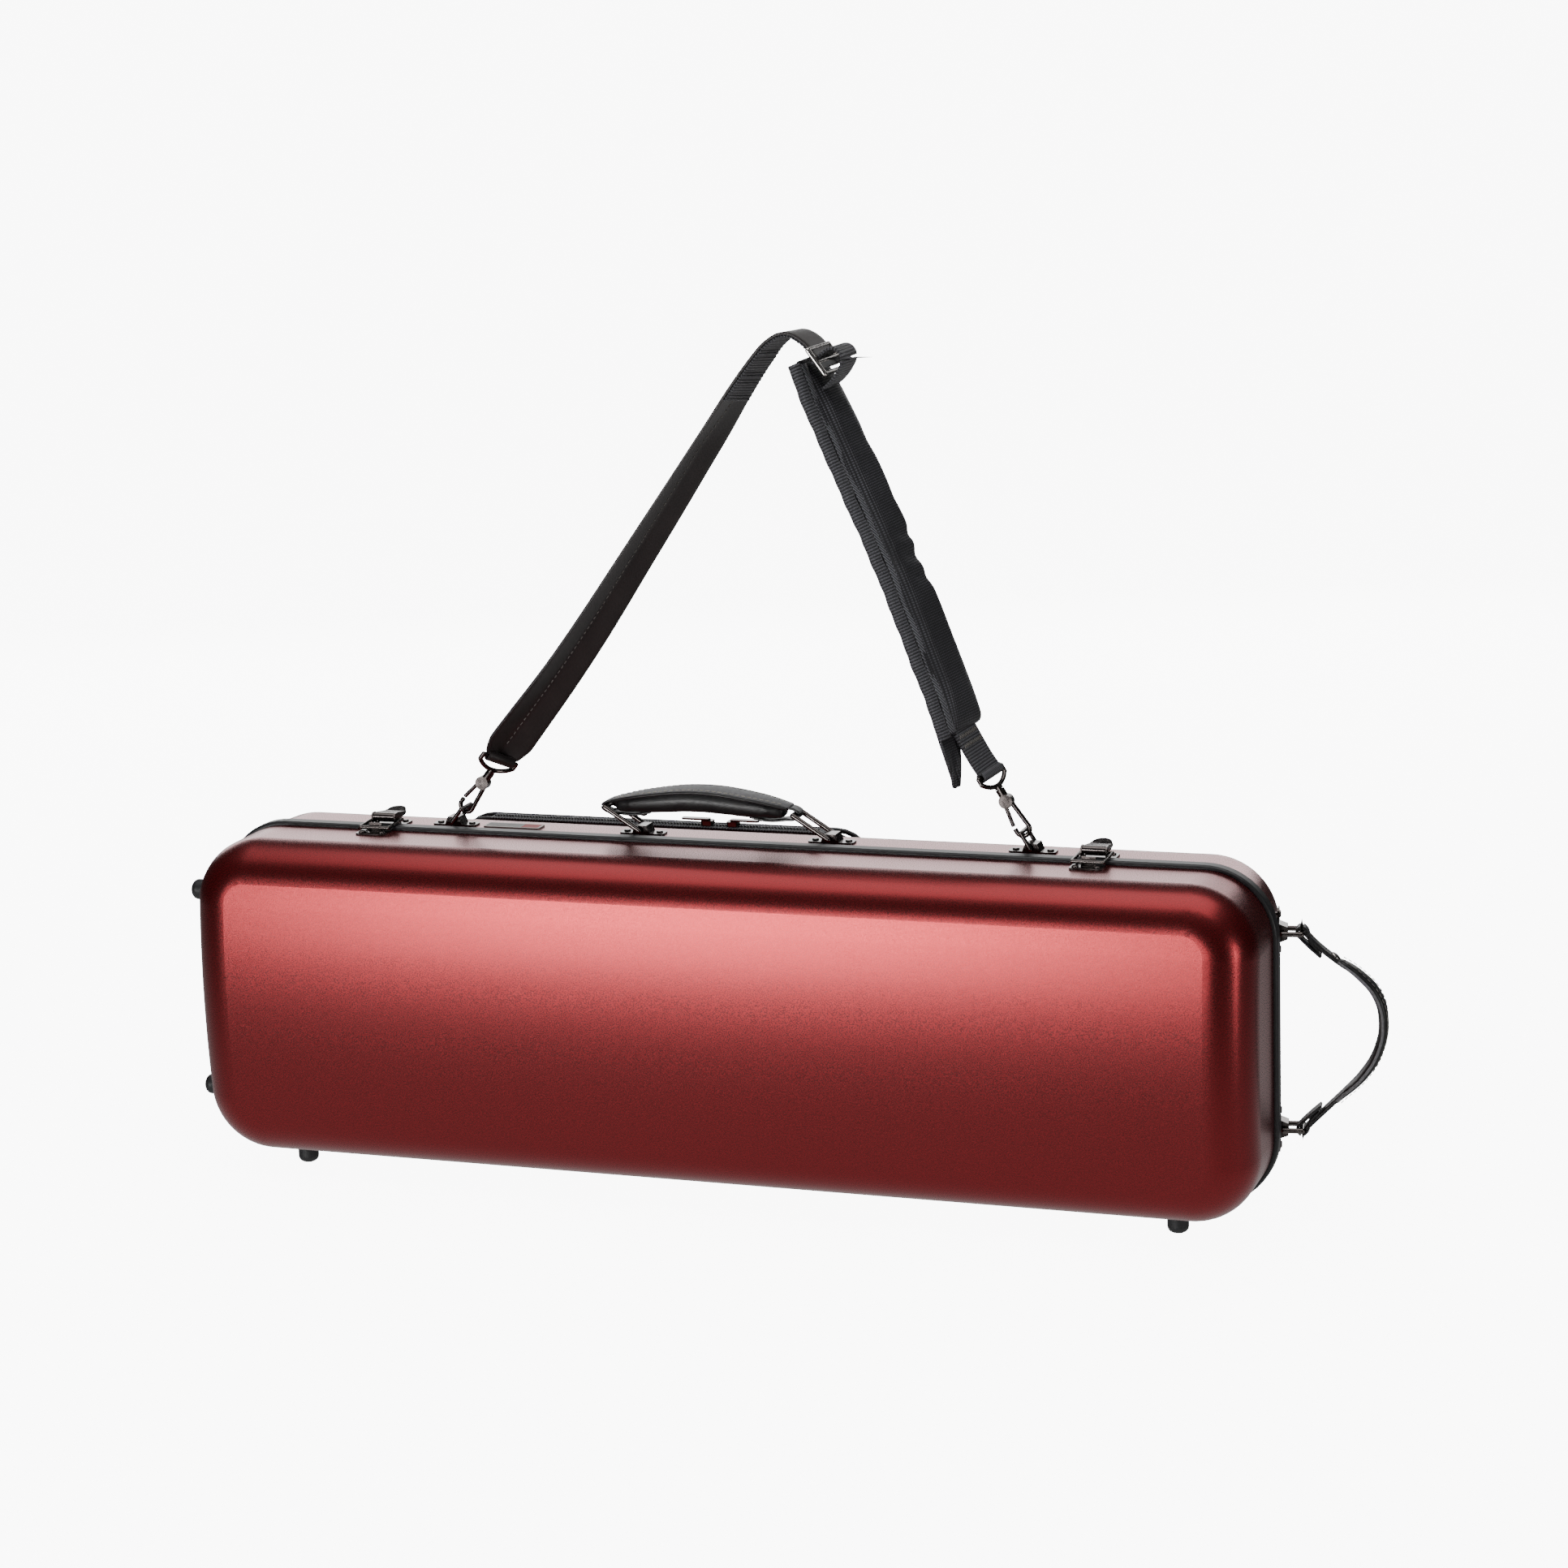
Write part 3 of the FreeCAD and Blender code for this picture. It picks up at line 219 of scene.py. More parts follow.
def makeStudio():
    floor = primitive("plane", "studioFloor", size=2, location=(0, 0, 0))
    only(floor)
    bpy.ops.object.mode_set(mode="EDIT")
    bpy.ops.transform.resize(value=(14, 5, 1))
    bpy.ops.mesh.select_all(action="DESELECT")
    bpy.ops.object.mode_set(mode="OBJECT")
    for v in floor.data.vertices:  # it runs on towards the camera
        v.co.y = min(v.co.y, v.co.y * 4)
    for edge in floor.data.edges:  # the far edge becomes the sweep and the backdrop
        edge.select = all(floor.data.vertices[i].co.y > 0 for i in edge.vertices)
    bpy.ops.object.mode_set(mode="EDIT")
    bpy.ops.mesh.select_mode(type="EDGE")
    for y, z in ((0.5, 0.08), (0.4, 0.25), (0.3, 0.4), (0.1, 0.6), (0.0, 5.0)):
        bpy.ops.mesh.extrude_region_move(TRANSFORM_OT_translate={"value": (0, y, z)})
    bpy.ops.object.mode_set(mode="OBJECT")
    smooth(floor)
    bake(floor)
    paper, tree = newMaterial("matteWhitePaper", Roughness=0.95, Emission_Color=(1, 1, 1, 1),
                              Emission_Strength=studio["floorGlow"])
    spot = addNode(tree, "TexCoord")
    fibre = addNode(tree, "TexNoise", {"Vector": spot.outputs["Object"], "Scale": 1 / (3 * mm)})
    tone = addNode(tree, "Mix", {0: fibre.outputs[0], 6: linear("#F4F3F2"), 7: linear(studio["floorColour"])},
                   data_type="RGBA")
    feed(tree, tone.outputs[2], "Base Color")
    floor.data.materials.append(paper)
    floor.visible_glossy = floor.visible_diffuse = False  # the paper doesn't wash out the lacquer
    for name, place, aim, width, height, power in studio["lights"]:
        bpy.ops.object.light_add(type="AREA", location=place)
        lamp = bpy.context.active_object
        lamp.name = name
        lamp.data.shape = "RECTANGLE"
        lamp.data.size = width
        lamp.data.size_y = height
        lamp.data.energy = power
        lamp.visible_camera = False
        lamp.rotation_euler = (Vector(aim) - Vector(place)).to_track_quat("-Z", "Y").to_euler()
    world = bpy.data.worlds.new("studioAir")
    world.use_nodes = True
    tree = world.node_tree
    spot = addNode(tree, "TexCoord")
    parts = addNode(tree, "SeparateXYZ", {0: spot.outputs["Generated"]})
    height = addNode(tree, "MapRange", {0: parts.outputs[2], 1: -1.0, 2: 1.0})
    glow = addNode(tree, "ValToRGB", {0: height.outputs[0]})
    while len(glow.color_ramp.elements) < len(studio["room"]):
        glow.color_ramp.elements.new(0.5)
    for stop, (place, level) in zip(glow.color_ramp.elements, studio["room"]):
        stop.position = place
        stop.color = (level, level, level, 1)
    tree.links.new(glow.outputs[0], tree.nodes["Background"].inputs["Color"])
    bpy.context.scene.world = world


placeCamera()
makeStudio()
print("camera and studio placed")


# finishes: each returns its material

def shellLacquer():
    # metallic lacquer sprayed over a moulded composite shell: deep red with a fine bright flake
    flake = 0.8 * mm  # clusters of flake, coarse enough to show
    material, tree = newMaterial("metallicLacquer", Metallic=0.85, Roughness=0.26,
                                 Coat_Weight=0.5, Coat_Roughness=0.35)
    spot = addNode(tree, "TexCoord")
    grain = addNode(tree, "TexNoise", {"Vector": spot.outputs["Object"], "Scale": 1 / flake,
                                       "Detail": 2.0, "Roughness": 0.6})
    tone = addNode(tree, "ValToRGB", {0: grain.outputs[0]})
    tone.color_ramp.elements[0].position = 0.32
    tone.color_ramp.elements[0].color = linear("#740D13")
    tone.color_ramp.elements[1].position = 0.7
    tone.color_ramp.elements[1].color = linear("#8E161C")
    feed(tree, tone.outputs[0], "Base Color")
    gloss = addNode(tree, "MapRange", {0: grain.outputs[0], 1: 0.3, 2: 0.7, 3: 0.22, 4: 0.34})
    feed(tree, gloss.outputs[0], "Roughness")
    emboss(tree, grain.outputs[0], 0.14, 0.15 * mm)
    return material


def bandRubber():
    # extruded rubber seam band, satin: a dark grey with a slightly chalky bloom
    material, tree = newMaterial("extrudedRubber", Roughness=0.42, Specular_IOR_Level=0.45)
    spot = addNode(tree, "TexCoord")
    bloom = addNode(tree, "TexNoise", {"Vector": spot.outputs["Object"], "Scale": 1 / (9 * mm), "Detail": 5.0})
    tint(tree, bloom.outputs[0], "#1F1F20", "#2E2E30")
    pore = addNode(tree, "TexNoise", {"Vector": spot.outputs["Object"], "Scale": 1 / (0.8 * mm)})
    emboss(tree, pore.outputs[0], 0.12, 0.1 * mm)
    return material


def blackNickel():
    # die castings and steel wire in black nickel plate: a warm dark mirror with faint handling marks
    material, tree = newMaterial("blackNickelPlate", Metallic=1.0, Roughness=0.2)
    spot = addNode(tree, "TexCoord")
    marks = addNode(tree, "TexNoise", {"Vector": spot.outputs["Object"], "Scale": 1 / (5 * mm), "Detail": 4.0})
    tint(tree, marks.outputs[0], "#514B49", "#6E6765")
    gloss = addNode(tree, "MapRange", {0: marks.outputs[0], 1: 0.3, 2: 0.7, 3: 0.14, 4: 0.26})
    feed(tree, gloss.outputs[0], "Roughness")
    return material


def brightNickel():
    # polished nickel on the slide buckle and hinges: brighter, with fine tumbling scratches
    material, tree = newMaterial("polishedNickel", Metallic=1.0, Roughness=0.16)
    spot = addNode(tree, "TexCoord")
    marks = addNode(tree, "TexNoise", {"Vector": spot.outputs["Object"], "Scale": 1 / (3 * mm), "Detail": 6.0})
    tint(tree, marks.outputs[0], "#B5B0AC", "#DAD6D2")
    gloss = addNode(tree, "MapRange", {0: marks.outputs[0], 1: 0.3, 2: 0.7, 3: 0.12, 4: 0.24})
    feed(tree, gloss.outputs[0], "Roughness")
    return material


def mouldedRubber():
    # moulded rubber feet: near black, matt, slightly polished on the domes
    material, tree = newMaterial("mouldedRubber", Roughness=0.5)
    spot = addNode(tree, "TexCoord")
    wear = addNode(tree, "TexNoise", {"Vector": spot.outputs["Object"], "Scale": 1 / (4 * mm), "Detail": 3.0})
    tint(tree, wear.outputs[0], "#171718", "#28282A")
    emboss(tree, wear.outputs[0], 0.1, 0.2 * mm)
    return material


def softLeather(name, dark, light, grainSize, roughness):
    # chrome tanned leather over padding: fine pebble grain, light on the high spots and in the creases
    material, tree = newMaterial(name, Roughness=roughness, Sheen_Weight=0.05)
    spot = addNode(tree, "TexCoord")
    pebble = addNode(tree, "TexVoronoi", {"Vector": spot.outputs["Object"], "Scale": 1 / grainSize})
    cloud = addNode(tree, "TexNoise", {"Vector": spot.outputs["Object"], "Scale": 1 / (14 * mm), "Detail": 4.0})
    tint(tree, cloud.outputs[0], dark, light)
    crease = addNode(tree, "Bump", {"Height": cloud.outputs[0], "Strength": 0.25, "Distance": 0.8 * mm})
    grain = addNode(tree, "Bump", {"Height": pebble.outputs[0], "Strength": 0.22, "Distance": 0.2 * mm,
                                   "Normal": crease.outputs[0]})
    feed(tree, grain.outputs[0], "Normal")
    return material


def enamelBadge():
    # blank nickel badge: a polished rim round two fields of hard enamel, grey on the left and red on the right
    material, tree = newMaterial("enamelBadge", Roughness=0.5, Specular_IOR_Level=0.25)
    spot = addNode(tree, "TexCoord")
    parts = addNode(tree, "SeparateXYZ", {0: spot.outputs["Object"]})
    fromMiddle = addNode(tree, "Math", {0: parts.outputs[0], 1: -204.3 * mm}, operation="SUBTRACT")
    offX = addNode(tree, "Math", {0: fromMiddle.outputs[0]}, operation="ABSOLUTE")
    fromLine = addNode(tree, "Math", {0: parts.outputs[1], 1: 17.0 * mm}, operation="SUBTRACT")
    offY = addNode(tree, "Math", {0: fromLine.outputs[0]}, operation="ABSOLUTE")
    ends = addNode(tree, "Math", {0: offX.outputs[0], 1: 20.6 * mm}, operation="GREATER_THAN")
    sides = addNode(tree, "Math", {0: offY.outputs[0], 1: 5.2 * mm}, operation="GREATER_THAN")
    rim = addNode(tree, "Math", {0: ends.outputs[0], 1: sides.outputs[0]}, operation="MAXIMUM")
    redSide = addNode(tree, "Math", {0: parts.outputs[0], 1: -197.0 * mm}, operation="GREATER_THAN")
    polish = addNode(tree, "TexNoise", {"Vector": spot.outputs["Object"], "Scale": 1 / (2 * mm), "Detail": 3.0})
    grey = addNode(tree, "Mix", {0: polish.outputs[0], 6: linear("#7C7A79"), 7: linear("#9C9896")},
                   data_type="RGBA")
    field = addNode(tree, "Mix", {0: redSide.outputs[0], 6: grey.outputs[2], 7: linear("#B01A22")},
                    data_type="RGBA")
    tone = addNode(tree, "Mix", {0: rim.outputs[0], 6: field.outputs[2], 7: linear("#C4BEBA")}, data_type="RGBA")
    feed(tree, tone.outputs[2], "Base Color")
    feed(tree, rim.outputs[0], "Metallic")
    return material


def mouldedPlastic():
    # injection moulded ABS on the bow holders: black, fine spark texture
    material, tree = newMaterial("mouldedPlastic", Roughness=0.38)
    spot = addNode(tree, "TexCoord")
    spark = addNode(tree, "TexNoise", {"Vector": spot.outputs["Object"], "Scale": 1 / (0.9 * mm), "Detail": 2.0})
    tint(tree, spark.outputs[0], "#101011", "#222224")
    emboss(tree, spark.outputs[0], 0.15, 0.05 * mm)
    return material


finishes = {
    "shell": shellLacquer(),
    "band": bandRubber(),
    "hardware": blackNickel(),
    "nickel": brightNickel(),
    "rubber": mouldedRubber(),
    "leather": softLeather("blackLeather", "#0F0E0E", "#201E1F", 1.1 * mm, 0.4),
    "badge": enamelBadge(),
    "plastic": mouldedPlastic(),
}

plain = {
    "shell": ("lid_shell", "base_shell"),
    "band": ("seam_band", "rim_seal"),
    "rubber": ("lid_feet", "base_feet"),
    "badge": ("blank_badge",),
    "plastic": ("bow_spinner_lower", "bow_spinner_upper", "bow_spinner_posts"),
    "nickel": ("slide_buckle", "hinge_base_leaves", "hinge_lid_leaves", "hinge_pins", "accessory_lid_pin"),
}
for finish, names in plain.items():
    for name in names:
        nodes[name].data.materials.clear()
        nodes[name].data.materials.append(finishes[finish])
hard = ("bracket", "ring_", "latch", "snap", "keeper", "rivets", "slider", "pins")
for name, node in nodes.items():
    if any(word in name for word in hard) and name not in plain["nickel"]:
        node.data.materials.clear()
        node.data.materials.append(finishes["hardware"])
print("hard parts finished")


# cloth, leather and webbing: each pattern reads "lay", the piece's own place before it was bent

def fabricSpot(tree):
    return addNode(tree, "Attribute", attribute_name="lay").outputs["Vector"]


def ribs(tree, spot, pitch, direction):  # even ridges, pitch in mm
    return addNode(tree, "TexWave", {"Vector": spot, "Scale": 0.314159 / (pitch * mm)},
                   bands_direction=direction).outputs["Fac"]


def ribbedWebbing(name, dark, light, pitch, depth):
    # woven nylon webbing: weft ribs across it, with fine warp ends along it; the ribs raise the bump and are also
    # painted light on their crests as a painted highlight
    material, tree = newMaterial(name, Roughness=0.62, Sheen_Weight=0.15, Sheen_Roughness=0.5)
    spot = fabricSpot(tree)
    weft = ribs(tree, spot, pitch, "X")
    warp = ribs(tree, spot, pitch * 0.7, "Y")
    lie = addNode(tree, "Math", {0: weft, 1: warp}, operation="MULTIPLY")
    both = addNode(tree, "Math", {0: lie.outputs[0], 1: weft}, operation="ADD")
    # painted highlight: the colour runs from dark in the troughs to light on the rib crests
    tint(tree, both.outputs[0], dark, light)
    emboss(tree, both.outputs[0], 0.7, depth * mm)
    return material


def ballisticNylon():
    # plain basket weave of heavy nylon, coated behind: charcoal, with a painted sheen along the threads that is
    # dimmed in broad patches by painted fold shade
    thread = 1.8  # mm, twice the real pitch so that the weave shows
    material, tree = newMaterial("ballisticNylon", Roughness=0.52, Sheen_Weight=0.2, Sheen_Roughness=0.4)
    spot = fabricSpot(tree)
    over = ribs(tree, spot, thread, "X")
    under = ribs(tree, spot, thread, "Y")
    weave = addNode(tree, "Math", {0: over, 1: under}, operation="MULTIPLY")
    # painted fold shade: a broad soft noise that darkens the painted thread sheen
    fold = addNode(tree, "TexNoise", {"Vector": spot, "Scale": 1 / (30 * mm), "Detail": 3.0})
    depth = addNode(tree, "Math", {0: weave.outputs[0], 1: fold.outputs[0]}, operation="MULTIPLY")
    # painted sheen and shade: light on the threads, dark between them and in the broad patches
    tint(tree, depth.outputs[0], "#121214", "#707078")
    emboss(tree, weave.outputs[0], 0.45, 0.3 * mm)
    return material


def herringbone():
    # herringbone tape that covers the seam: slanted floats that meet in a point down the middle, painted light on
    # the floats and dark between them as a painted highlight
    pitch = 3.0 * mm
    material, tree = newMaterial("herringboneTape", Roughness=0.55, Sheen_Weight=0.15)
    spot = fabricSpot(tree)
    parts = addNode(tree, "SeparateXYZ", {0: spot})
    off = addNode(tree, "Math", {0: parts.outputs[1], 1: padShape["seamY"] * mm}, operation="SUBTRACT")
    away = addNode(tree, "Math", {0: off.outputs[0]}, operation="ABSOLUTE")
    slant = addNode(tree, "Math", {0: away.outputs[0], 1: 1.6, 2: parts.outputs[0]}, operation="MULTIPLY_ADD")
    beat = addNode(tree, "Math", {0: slant.outputs[0], 1: 2 * math.pi / pitch}, operation="MULTIPLY")
    wave = addNode(tree, "Math", {0: beat.outputs[0]}, operation="SINE")
    floatReliefAndHighlight = addNode(tree, "MapRange", {0: wave.outputs[0], 1: -1.0, 2: 1.0})
    # painted highlight: the floats are painted light and the gaps between them dark; the same wave raises the bump
    tint(tree, floatReliefAndHighlight.outputs[0], "#0E0E10", "#77777E")
    emboss(tree, floatReliefAndHighlight.outputs[0], 0.6, 0.4 * mm)
    return material


def strapHide():
    # smooth coated strap, rolled flat: brown black with a satin finish and slight cross creases
    material, tree = newMaterial("coatedStrapHide", Roughness=0.48, Sheen_Weight=0.08)
    spot = fabricSpot(tree)
    cloud = addNode(tree, "TexNoise", {"Vector": spot, "Scale": 1 / (18 * mm), "Detail": 4.0})
    tint(tree, cloud.outputs[0], "#171313", "#2E2625")
    twill = ribs(tree, spot, 1.6, "DIAGONAL")
    emboss(tree, twill, 0.12, 0.15 * mm)
    return material


def wornLeather():
    # top panel of the grip: split leather gone grey, with open pores and a brushed nap
    material, tree = newMaterial("greySplitLeather", Roughness=0.6, Sheen_Weight=0.2)
    spot = fabricSpot(tree)
    nap = addNode(tree, "TexNoise", {"Vector": spot, "Scale": 1 / (2.2 * mm), "Detail": 5.0})
    tint(tree, nap.outputs[0], "#3E3D3F", "#858487")
    pore = addNode(tree, "TexVoronoi", {"Vector": spot, "Scale": 1 / (1.3 * mm)})
    emboss(tree, pore.outputs[0], 0.25, 0.2 * mm)
    return material


def sewingThread(name, colour):
    # twisted polyester thread: pale, with painted shade in the grooves between the plies as fine diagonal lines
    material, tree = newMaterial(name, Roughness=0.55, Sheen_Weight=0.1)
    spot = addNode(tree, "TexCoord")
    plyGrooveShade = addNode(tree, "TexWave", {"Vector": spot.outputs["Object"], "Scale": 0.314159 / (0.5 * mm)},
                  bands_direction="DIAGONAL")
    # painted shade: the grooves between the plies are painted darker
    tint(tree, plyGrooveShade.outputs["Fac"], "#5E5A55", colour)
    return material


def plush():
    # cotton velveteen glued over foam: near black, pile brushed one way in soft patches, painted lighter where the
    # brushed pile would catch the light as a painted sheen
    material, tree = newMaterial("plushLining", Roughness=0.9, Sheen_Weight=0.6, Sheen_Roughness=0.35)
    spot = fabricSpot(tree)
    brushed = addNode(tree, "TexNoise", {"Vector": spot, "Scale": 1 / (40 * mm), "Detail": 3.0})
    pile = addNode(tree, "TexNoise", {"Vector": spot, "Scale": 1 / (0.9 * mm), "Detail": 2.0})
    # painted sheen: soft broad patches of lighter colour stand in for light caught by the brushed pile
    tint(tree, brushed.outputs[0], "#141416", "#2C2C30")
    emboss(tree, pile.outputs[0], 0.4, 0.4 * mm)
    return material


def zipCoil():
    # extruded polyester coil: black with a slight gloss
    material, tree = newMaterial("polyesterCoil", Roughness=0.3)
    spot = addNode(tree, "TexCoord")
    wear = addNode(tree, "TexNoise", {"Vector": spot.outputs["Object"], "Scale": 1 / (6 * mm), "Detail": 3.0})
    tint(tree, wear.outputs[0], "#1A1A1B", "#38383A")
    return material


padShape = {  # mm, straight, before it is hung
    "width": 50.0, "thickness": 9.0,
    "seamY": -14.5, "bindingWidth": 9.0, "tapeWidth": 8.0,
    "voxel": 4.5, "pressure": 3.5, "cap": 5.0,
    # along the pad (mm from its top), how deep and how wide each crease is
    "creases": ((132.0, 2.6, 5.0), (148.0, 3.4, 6.0), (164.0, 2.0, 5.0), (60.0, 1.0, 9.0)),
}

finishes.update({
    "strap": strapHide(),
    "webbing": ribbedWebbing("nylonWebbing", "#0C0C0D", "#4E4E53", 2.2, 0.5),
    "binding": ribbedWebbing("ribbedBinding", "#0A0A0B", "#5C5C62", 2.2, 0.6),
    "nylon": ballisticNylon(),
    "herringbone": herringbone(),
    "greyLeather": wornLeather(),
    "thread": sewingThread("creamThread", "#D9D2C6"),
    "darkThread": sewingThread("greyThread", "#77736F"),
    "plush": plush(),
    "coil": zipCoil(),
})


def layOut(piece):  # remembers where each point lies before the piece is bent
    bake(piece)
    record = piece.data.attributes.new("lay", "FLOAT_VECTOR", "POINT")
    record.data.foreach_set("vector", [c for v in piece.data.vertices for c in v.co])


def strip(name, length, width, thickness, along=90, across=8, startX=0.0):  # a flat band that lies along X, in mm
    band = primitive("grid", name, x_subdivisions=along, y_subdivisions=across, size=1)
    only(band)
    bpy.ops.object.mode_set(mode="EDIT")
    bpy.ops.transform.resize(value=(length * mm, width * mm, 1))
    bpy.ops.transform.translate(value=((startX + length / 2) * mm, 0, 0))
    bpy.ops.object.mode_set(mode="OBJECT")
    if thickness:
        modify(band, "SOLIDIFY", thickness=thickness * mm, offset=0)
        modify(band, "BEVEL", width=0.3 * thickness * mm, segments=2, limit_method="ANGLE")
    return band


def stitchRow(name, places, length, radius):  # one stitch, copied to each (x, y, z, turn)
    first = primitive("cylinder", name, vertices=6, radius=radius * mm, depth=length * mm, end_fill_type="NGON",
                      rotation=(0, math.pi / 2, 0))
    modify(first, "BEVEL", width=0.5 * radius * mm, segments=1)
    bake(first)
    row = []
    for x, y, z, turn in places:
        stitch = copyOf(first, name + str(len(row)))
        stitch.matrix_world = Matrix.Translation((x * mm, y * mm, z * mm)) @ Matrix.Rotation(turn, 4, "Z")
        row.append(stitch)
    bpy.data.objects.remove(first)
    bpy.context.view_layer.update()
    row = joined(name, row)
    bake(row)
    return row


def longTube(name, sides, radius, length, middle, height, cuts):  # along X, in mm, cut across so that it bends
    tube = primitive("cylinder", name, vertices=sides, radius=radius * mm, depth=length * mm,
                     rotation=(0, math.pi / 2, 0), location=(middle * mm, 0, height * mm))
    bake(tube)
    only(tube)
    bpy.ops.object.mode_set(mode="EDIT")
    bpy.ops.mesh.select_mode(type="EDGE")
    bpy.ops.mesh.select_all(action="DESELECT")
    bpy.ops.object.mode_set(mode="OBJECT")
    for edge in tube.data.edges:
        a, b = (tube.data.vertices[i].co for i in edge.vertices)
        edge.select = abs(a.x - b.x) > length / 2 * mm
    bpy.ops.object.mode_set(mode="EDIT")
    bpy.ops.mesh.subdivide_edgering(number_cuts=cuts)
    bpy.ops.object.mode_set(mode="OBJECT")
    return tube


def eyeBarrel(name, depth, place, lean, turn, body, slotName, finish):  # webbing sewn round a snap hook's eye
    barrel = primitive("cylinder", name, vertices=32, radius=3.9 * mm, depth=depth * mm,
                       end_fill_type="NOTHING", rotation=(math.pi / 2, 0, 0))
    modify(barrel, "SOLIDIFY", thickness=1.8 * mm, offset=-1)
    modify(barrel, "BEVEL", width=0.5 * mm, segments=2, limit_method="ANGLE")
    layOut(barrel)
    tip = Matrix.Rotation(math.radians(lean), 4, "Y") @ Matrix.Rotation(math.radians(turn), 4, "Z")
    barrel.matrix_world = Matrix.Translation(Vector(place) * mm) @ tip
    smooth(barrel, 35)
    settle(barrel, body, slotName, finish)


def inflate(piece, voxel, pressure, cap, frames=20):  # puffs a closed piece up as stuffed cloth
    modify(piece, "REMESH", mode="VOXEL", voxel_size=voxel * mm)
    rest = [v.co.copy() for v in piece.data.vertices]
    only(piece)
    cloth = piece.modifiers.new("stuffing", "CLOTH")
    cloth.settings.use_pressure = True
    cloth.settings.uniform_pressure_force = pressure
    cloth.settings.effector_weights.gravity = 0
    cloth.point_cache.frame_end = frames
    for moment in range(1, frames + 1):
        bpy.context.scene.frame_set(moment)
    bpy.ops.object.modifier_apply(modifier=cloth.name)
    bpy.context.scene.frame_set(1)
    for v, was in zip(piece.data.vertices, rest):
        gone = v.co - was
        if gone.length > cap * mm:
            v.co = was + gone.normalized() * cap * mm


# left leg of the strap: a band folded to a shallow V, over the top and into the buckle

strapLeg = {
    "width": 37.0, "thickness": 2.0, "fold": 6.0, "endWidth": 24.0,
    "points": ((-212.4, 17, 303.0), (-199.5, 17, 319.0), (-152.0, 17, 378.0), (-94.0, 17, 459.0),
               (-40.0, 17, 536.0), (1.5, 17, 595.5), (13.5, 17, 608.5), (24.0, 17, 613.6), (35.5, 17, 610.0),
               (45.5, 17, 599.5), (51.0, 17, 589.5)),
    "tilts": (-42, -42, -33, -24, -16, -8, -5, -2, 0, 0, 0),
    "stitchPitch": 4.6,
}


def makeStrapLeg():
    guide, length = route("strapRoute", strapLeg["points"], strapLeg["tilts"])
    length /= mm
    band = strip("strapBand", length, 1.0, 0, along=150, across=10)
    for v in band.data.vertices:
        x = v.co.x / mm
        grow = min(1, max(0, x / 14)) ** 0.6
        width = strapLeg["endWidth"] + (strapLeg["width"] - strapLeg["endWidth"]) * grow
        flat = min(1, max(0, (length - 85 - x) / 60))  # the fold opens out towards the top
        share = v.co.y / (0.5 * mm)
        v.co.y = share * width / 2 * mm
        v.co.z = strapLeg["fold"] * flat * (1 - abs(share) ** 1.15) * mm
    modify(band, "SOLIDIFY", thickness=strapLeg["thickness"] * mm, offset=0)
    modify(band, "BEVEL", width=0.5 * mm, segments=2, limit_method="ANGLE")
    layOut(band)
    places = []
    x = 12.0
    while x < length - 90:
        flat = min(1, max(0, (length - 85 - x) / 60))
        places.append((x, 0.6, strapLeg["fold"] * flat - strapLeg["thickness"] / 2 - 0.1, 0))
        x += strapLeg["stitchPitch"]
    seam = stitchRow("strapSeam", places, 2.6, 0.42)
    under = strip("apexWebbing", 92, 33, 1.6, along=60, across=4, startX=length - 104)
    for v in under.data.vertices:  # the webbing under the smooth face, with a ruffled edge
        v.co.z -= (1.9 + 0.35 * math.sin(v.co.x / mm * 1.9)) * mm
        v.co.y -= 1.2 * mm
    layOut(under)
    bendAlong(guide, band, seam, under)
    for piece in (band, under):
        smooth(piece, 35)
    settle(band, "base", "leather", finishes["strap"], "strap_leg")
    settle(seam, "base", "leather", finishes["darkThread"])
    settle(under, "base", "webbing", finishes["webbing"])
    eyeBarrel("strapBarrel", 23, (-212.9, 17, 302.35), 38.5, -42, "base", "leather", finishes["strap"])


makeStrapLeg()
print("strap leg made")


# slide buckle's loop of webbing

buckleLoop = {
    "width": 33.0, "thickness": 1.7,
    "points": ((43.5, 17, 593.0), (49.0, 17, 598.6), (56.0, 17, 603.5), (62.5, 17, 602.0), (65.0, 17, 595.5),
               (62.0, 17, 588.0), (56.5, 17, 581.0), (50.5, 17, 576.0)),
}


def makeBuckleLoop():
    guide, length = route("loopRoute", buckleLoop["points"], [0] * len(buckleLoop["points"]))
    loop = strip("buckleLoop", length / mm, buckleLoop["width"], buckleLoop["thickness"], along=60)
    layOut(loop)
    bendAlong(guide, loop)
    smooth(loop, 35)
    settle(loop, "base", "webbing", finishes["webbing"])


makeBuckleLoop()


# shoulder pad: a stuffed nylon sleeve with a bound near edge and a taped seam

padRoute = ((33.5, 17, 596.0), (47.0, 17, 566.0), (72.0, 17, 512.0), (98.5, 17, 452.0), (120.0, 17, 395.0),
            (136.5, 17, 350.0), (141.0, 17, 334.5))
padTilts = (6, 12, 17, 19, 19, 19, 19)


def creaseDepth(x, y):
    depth = 0.0
    for place, deep, wide in padShape["creases"]:
        run = (x - place - 0.25 * (y + 20)) / wide
        depth += deep * math.exp(-run * run) * min(1, max(0, (y + 12) / 26))
    return depth


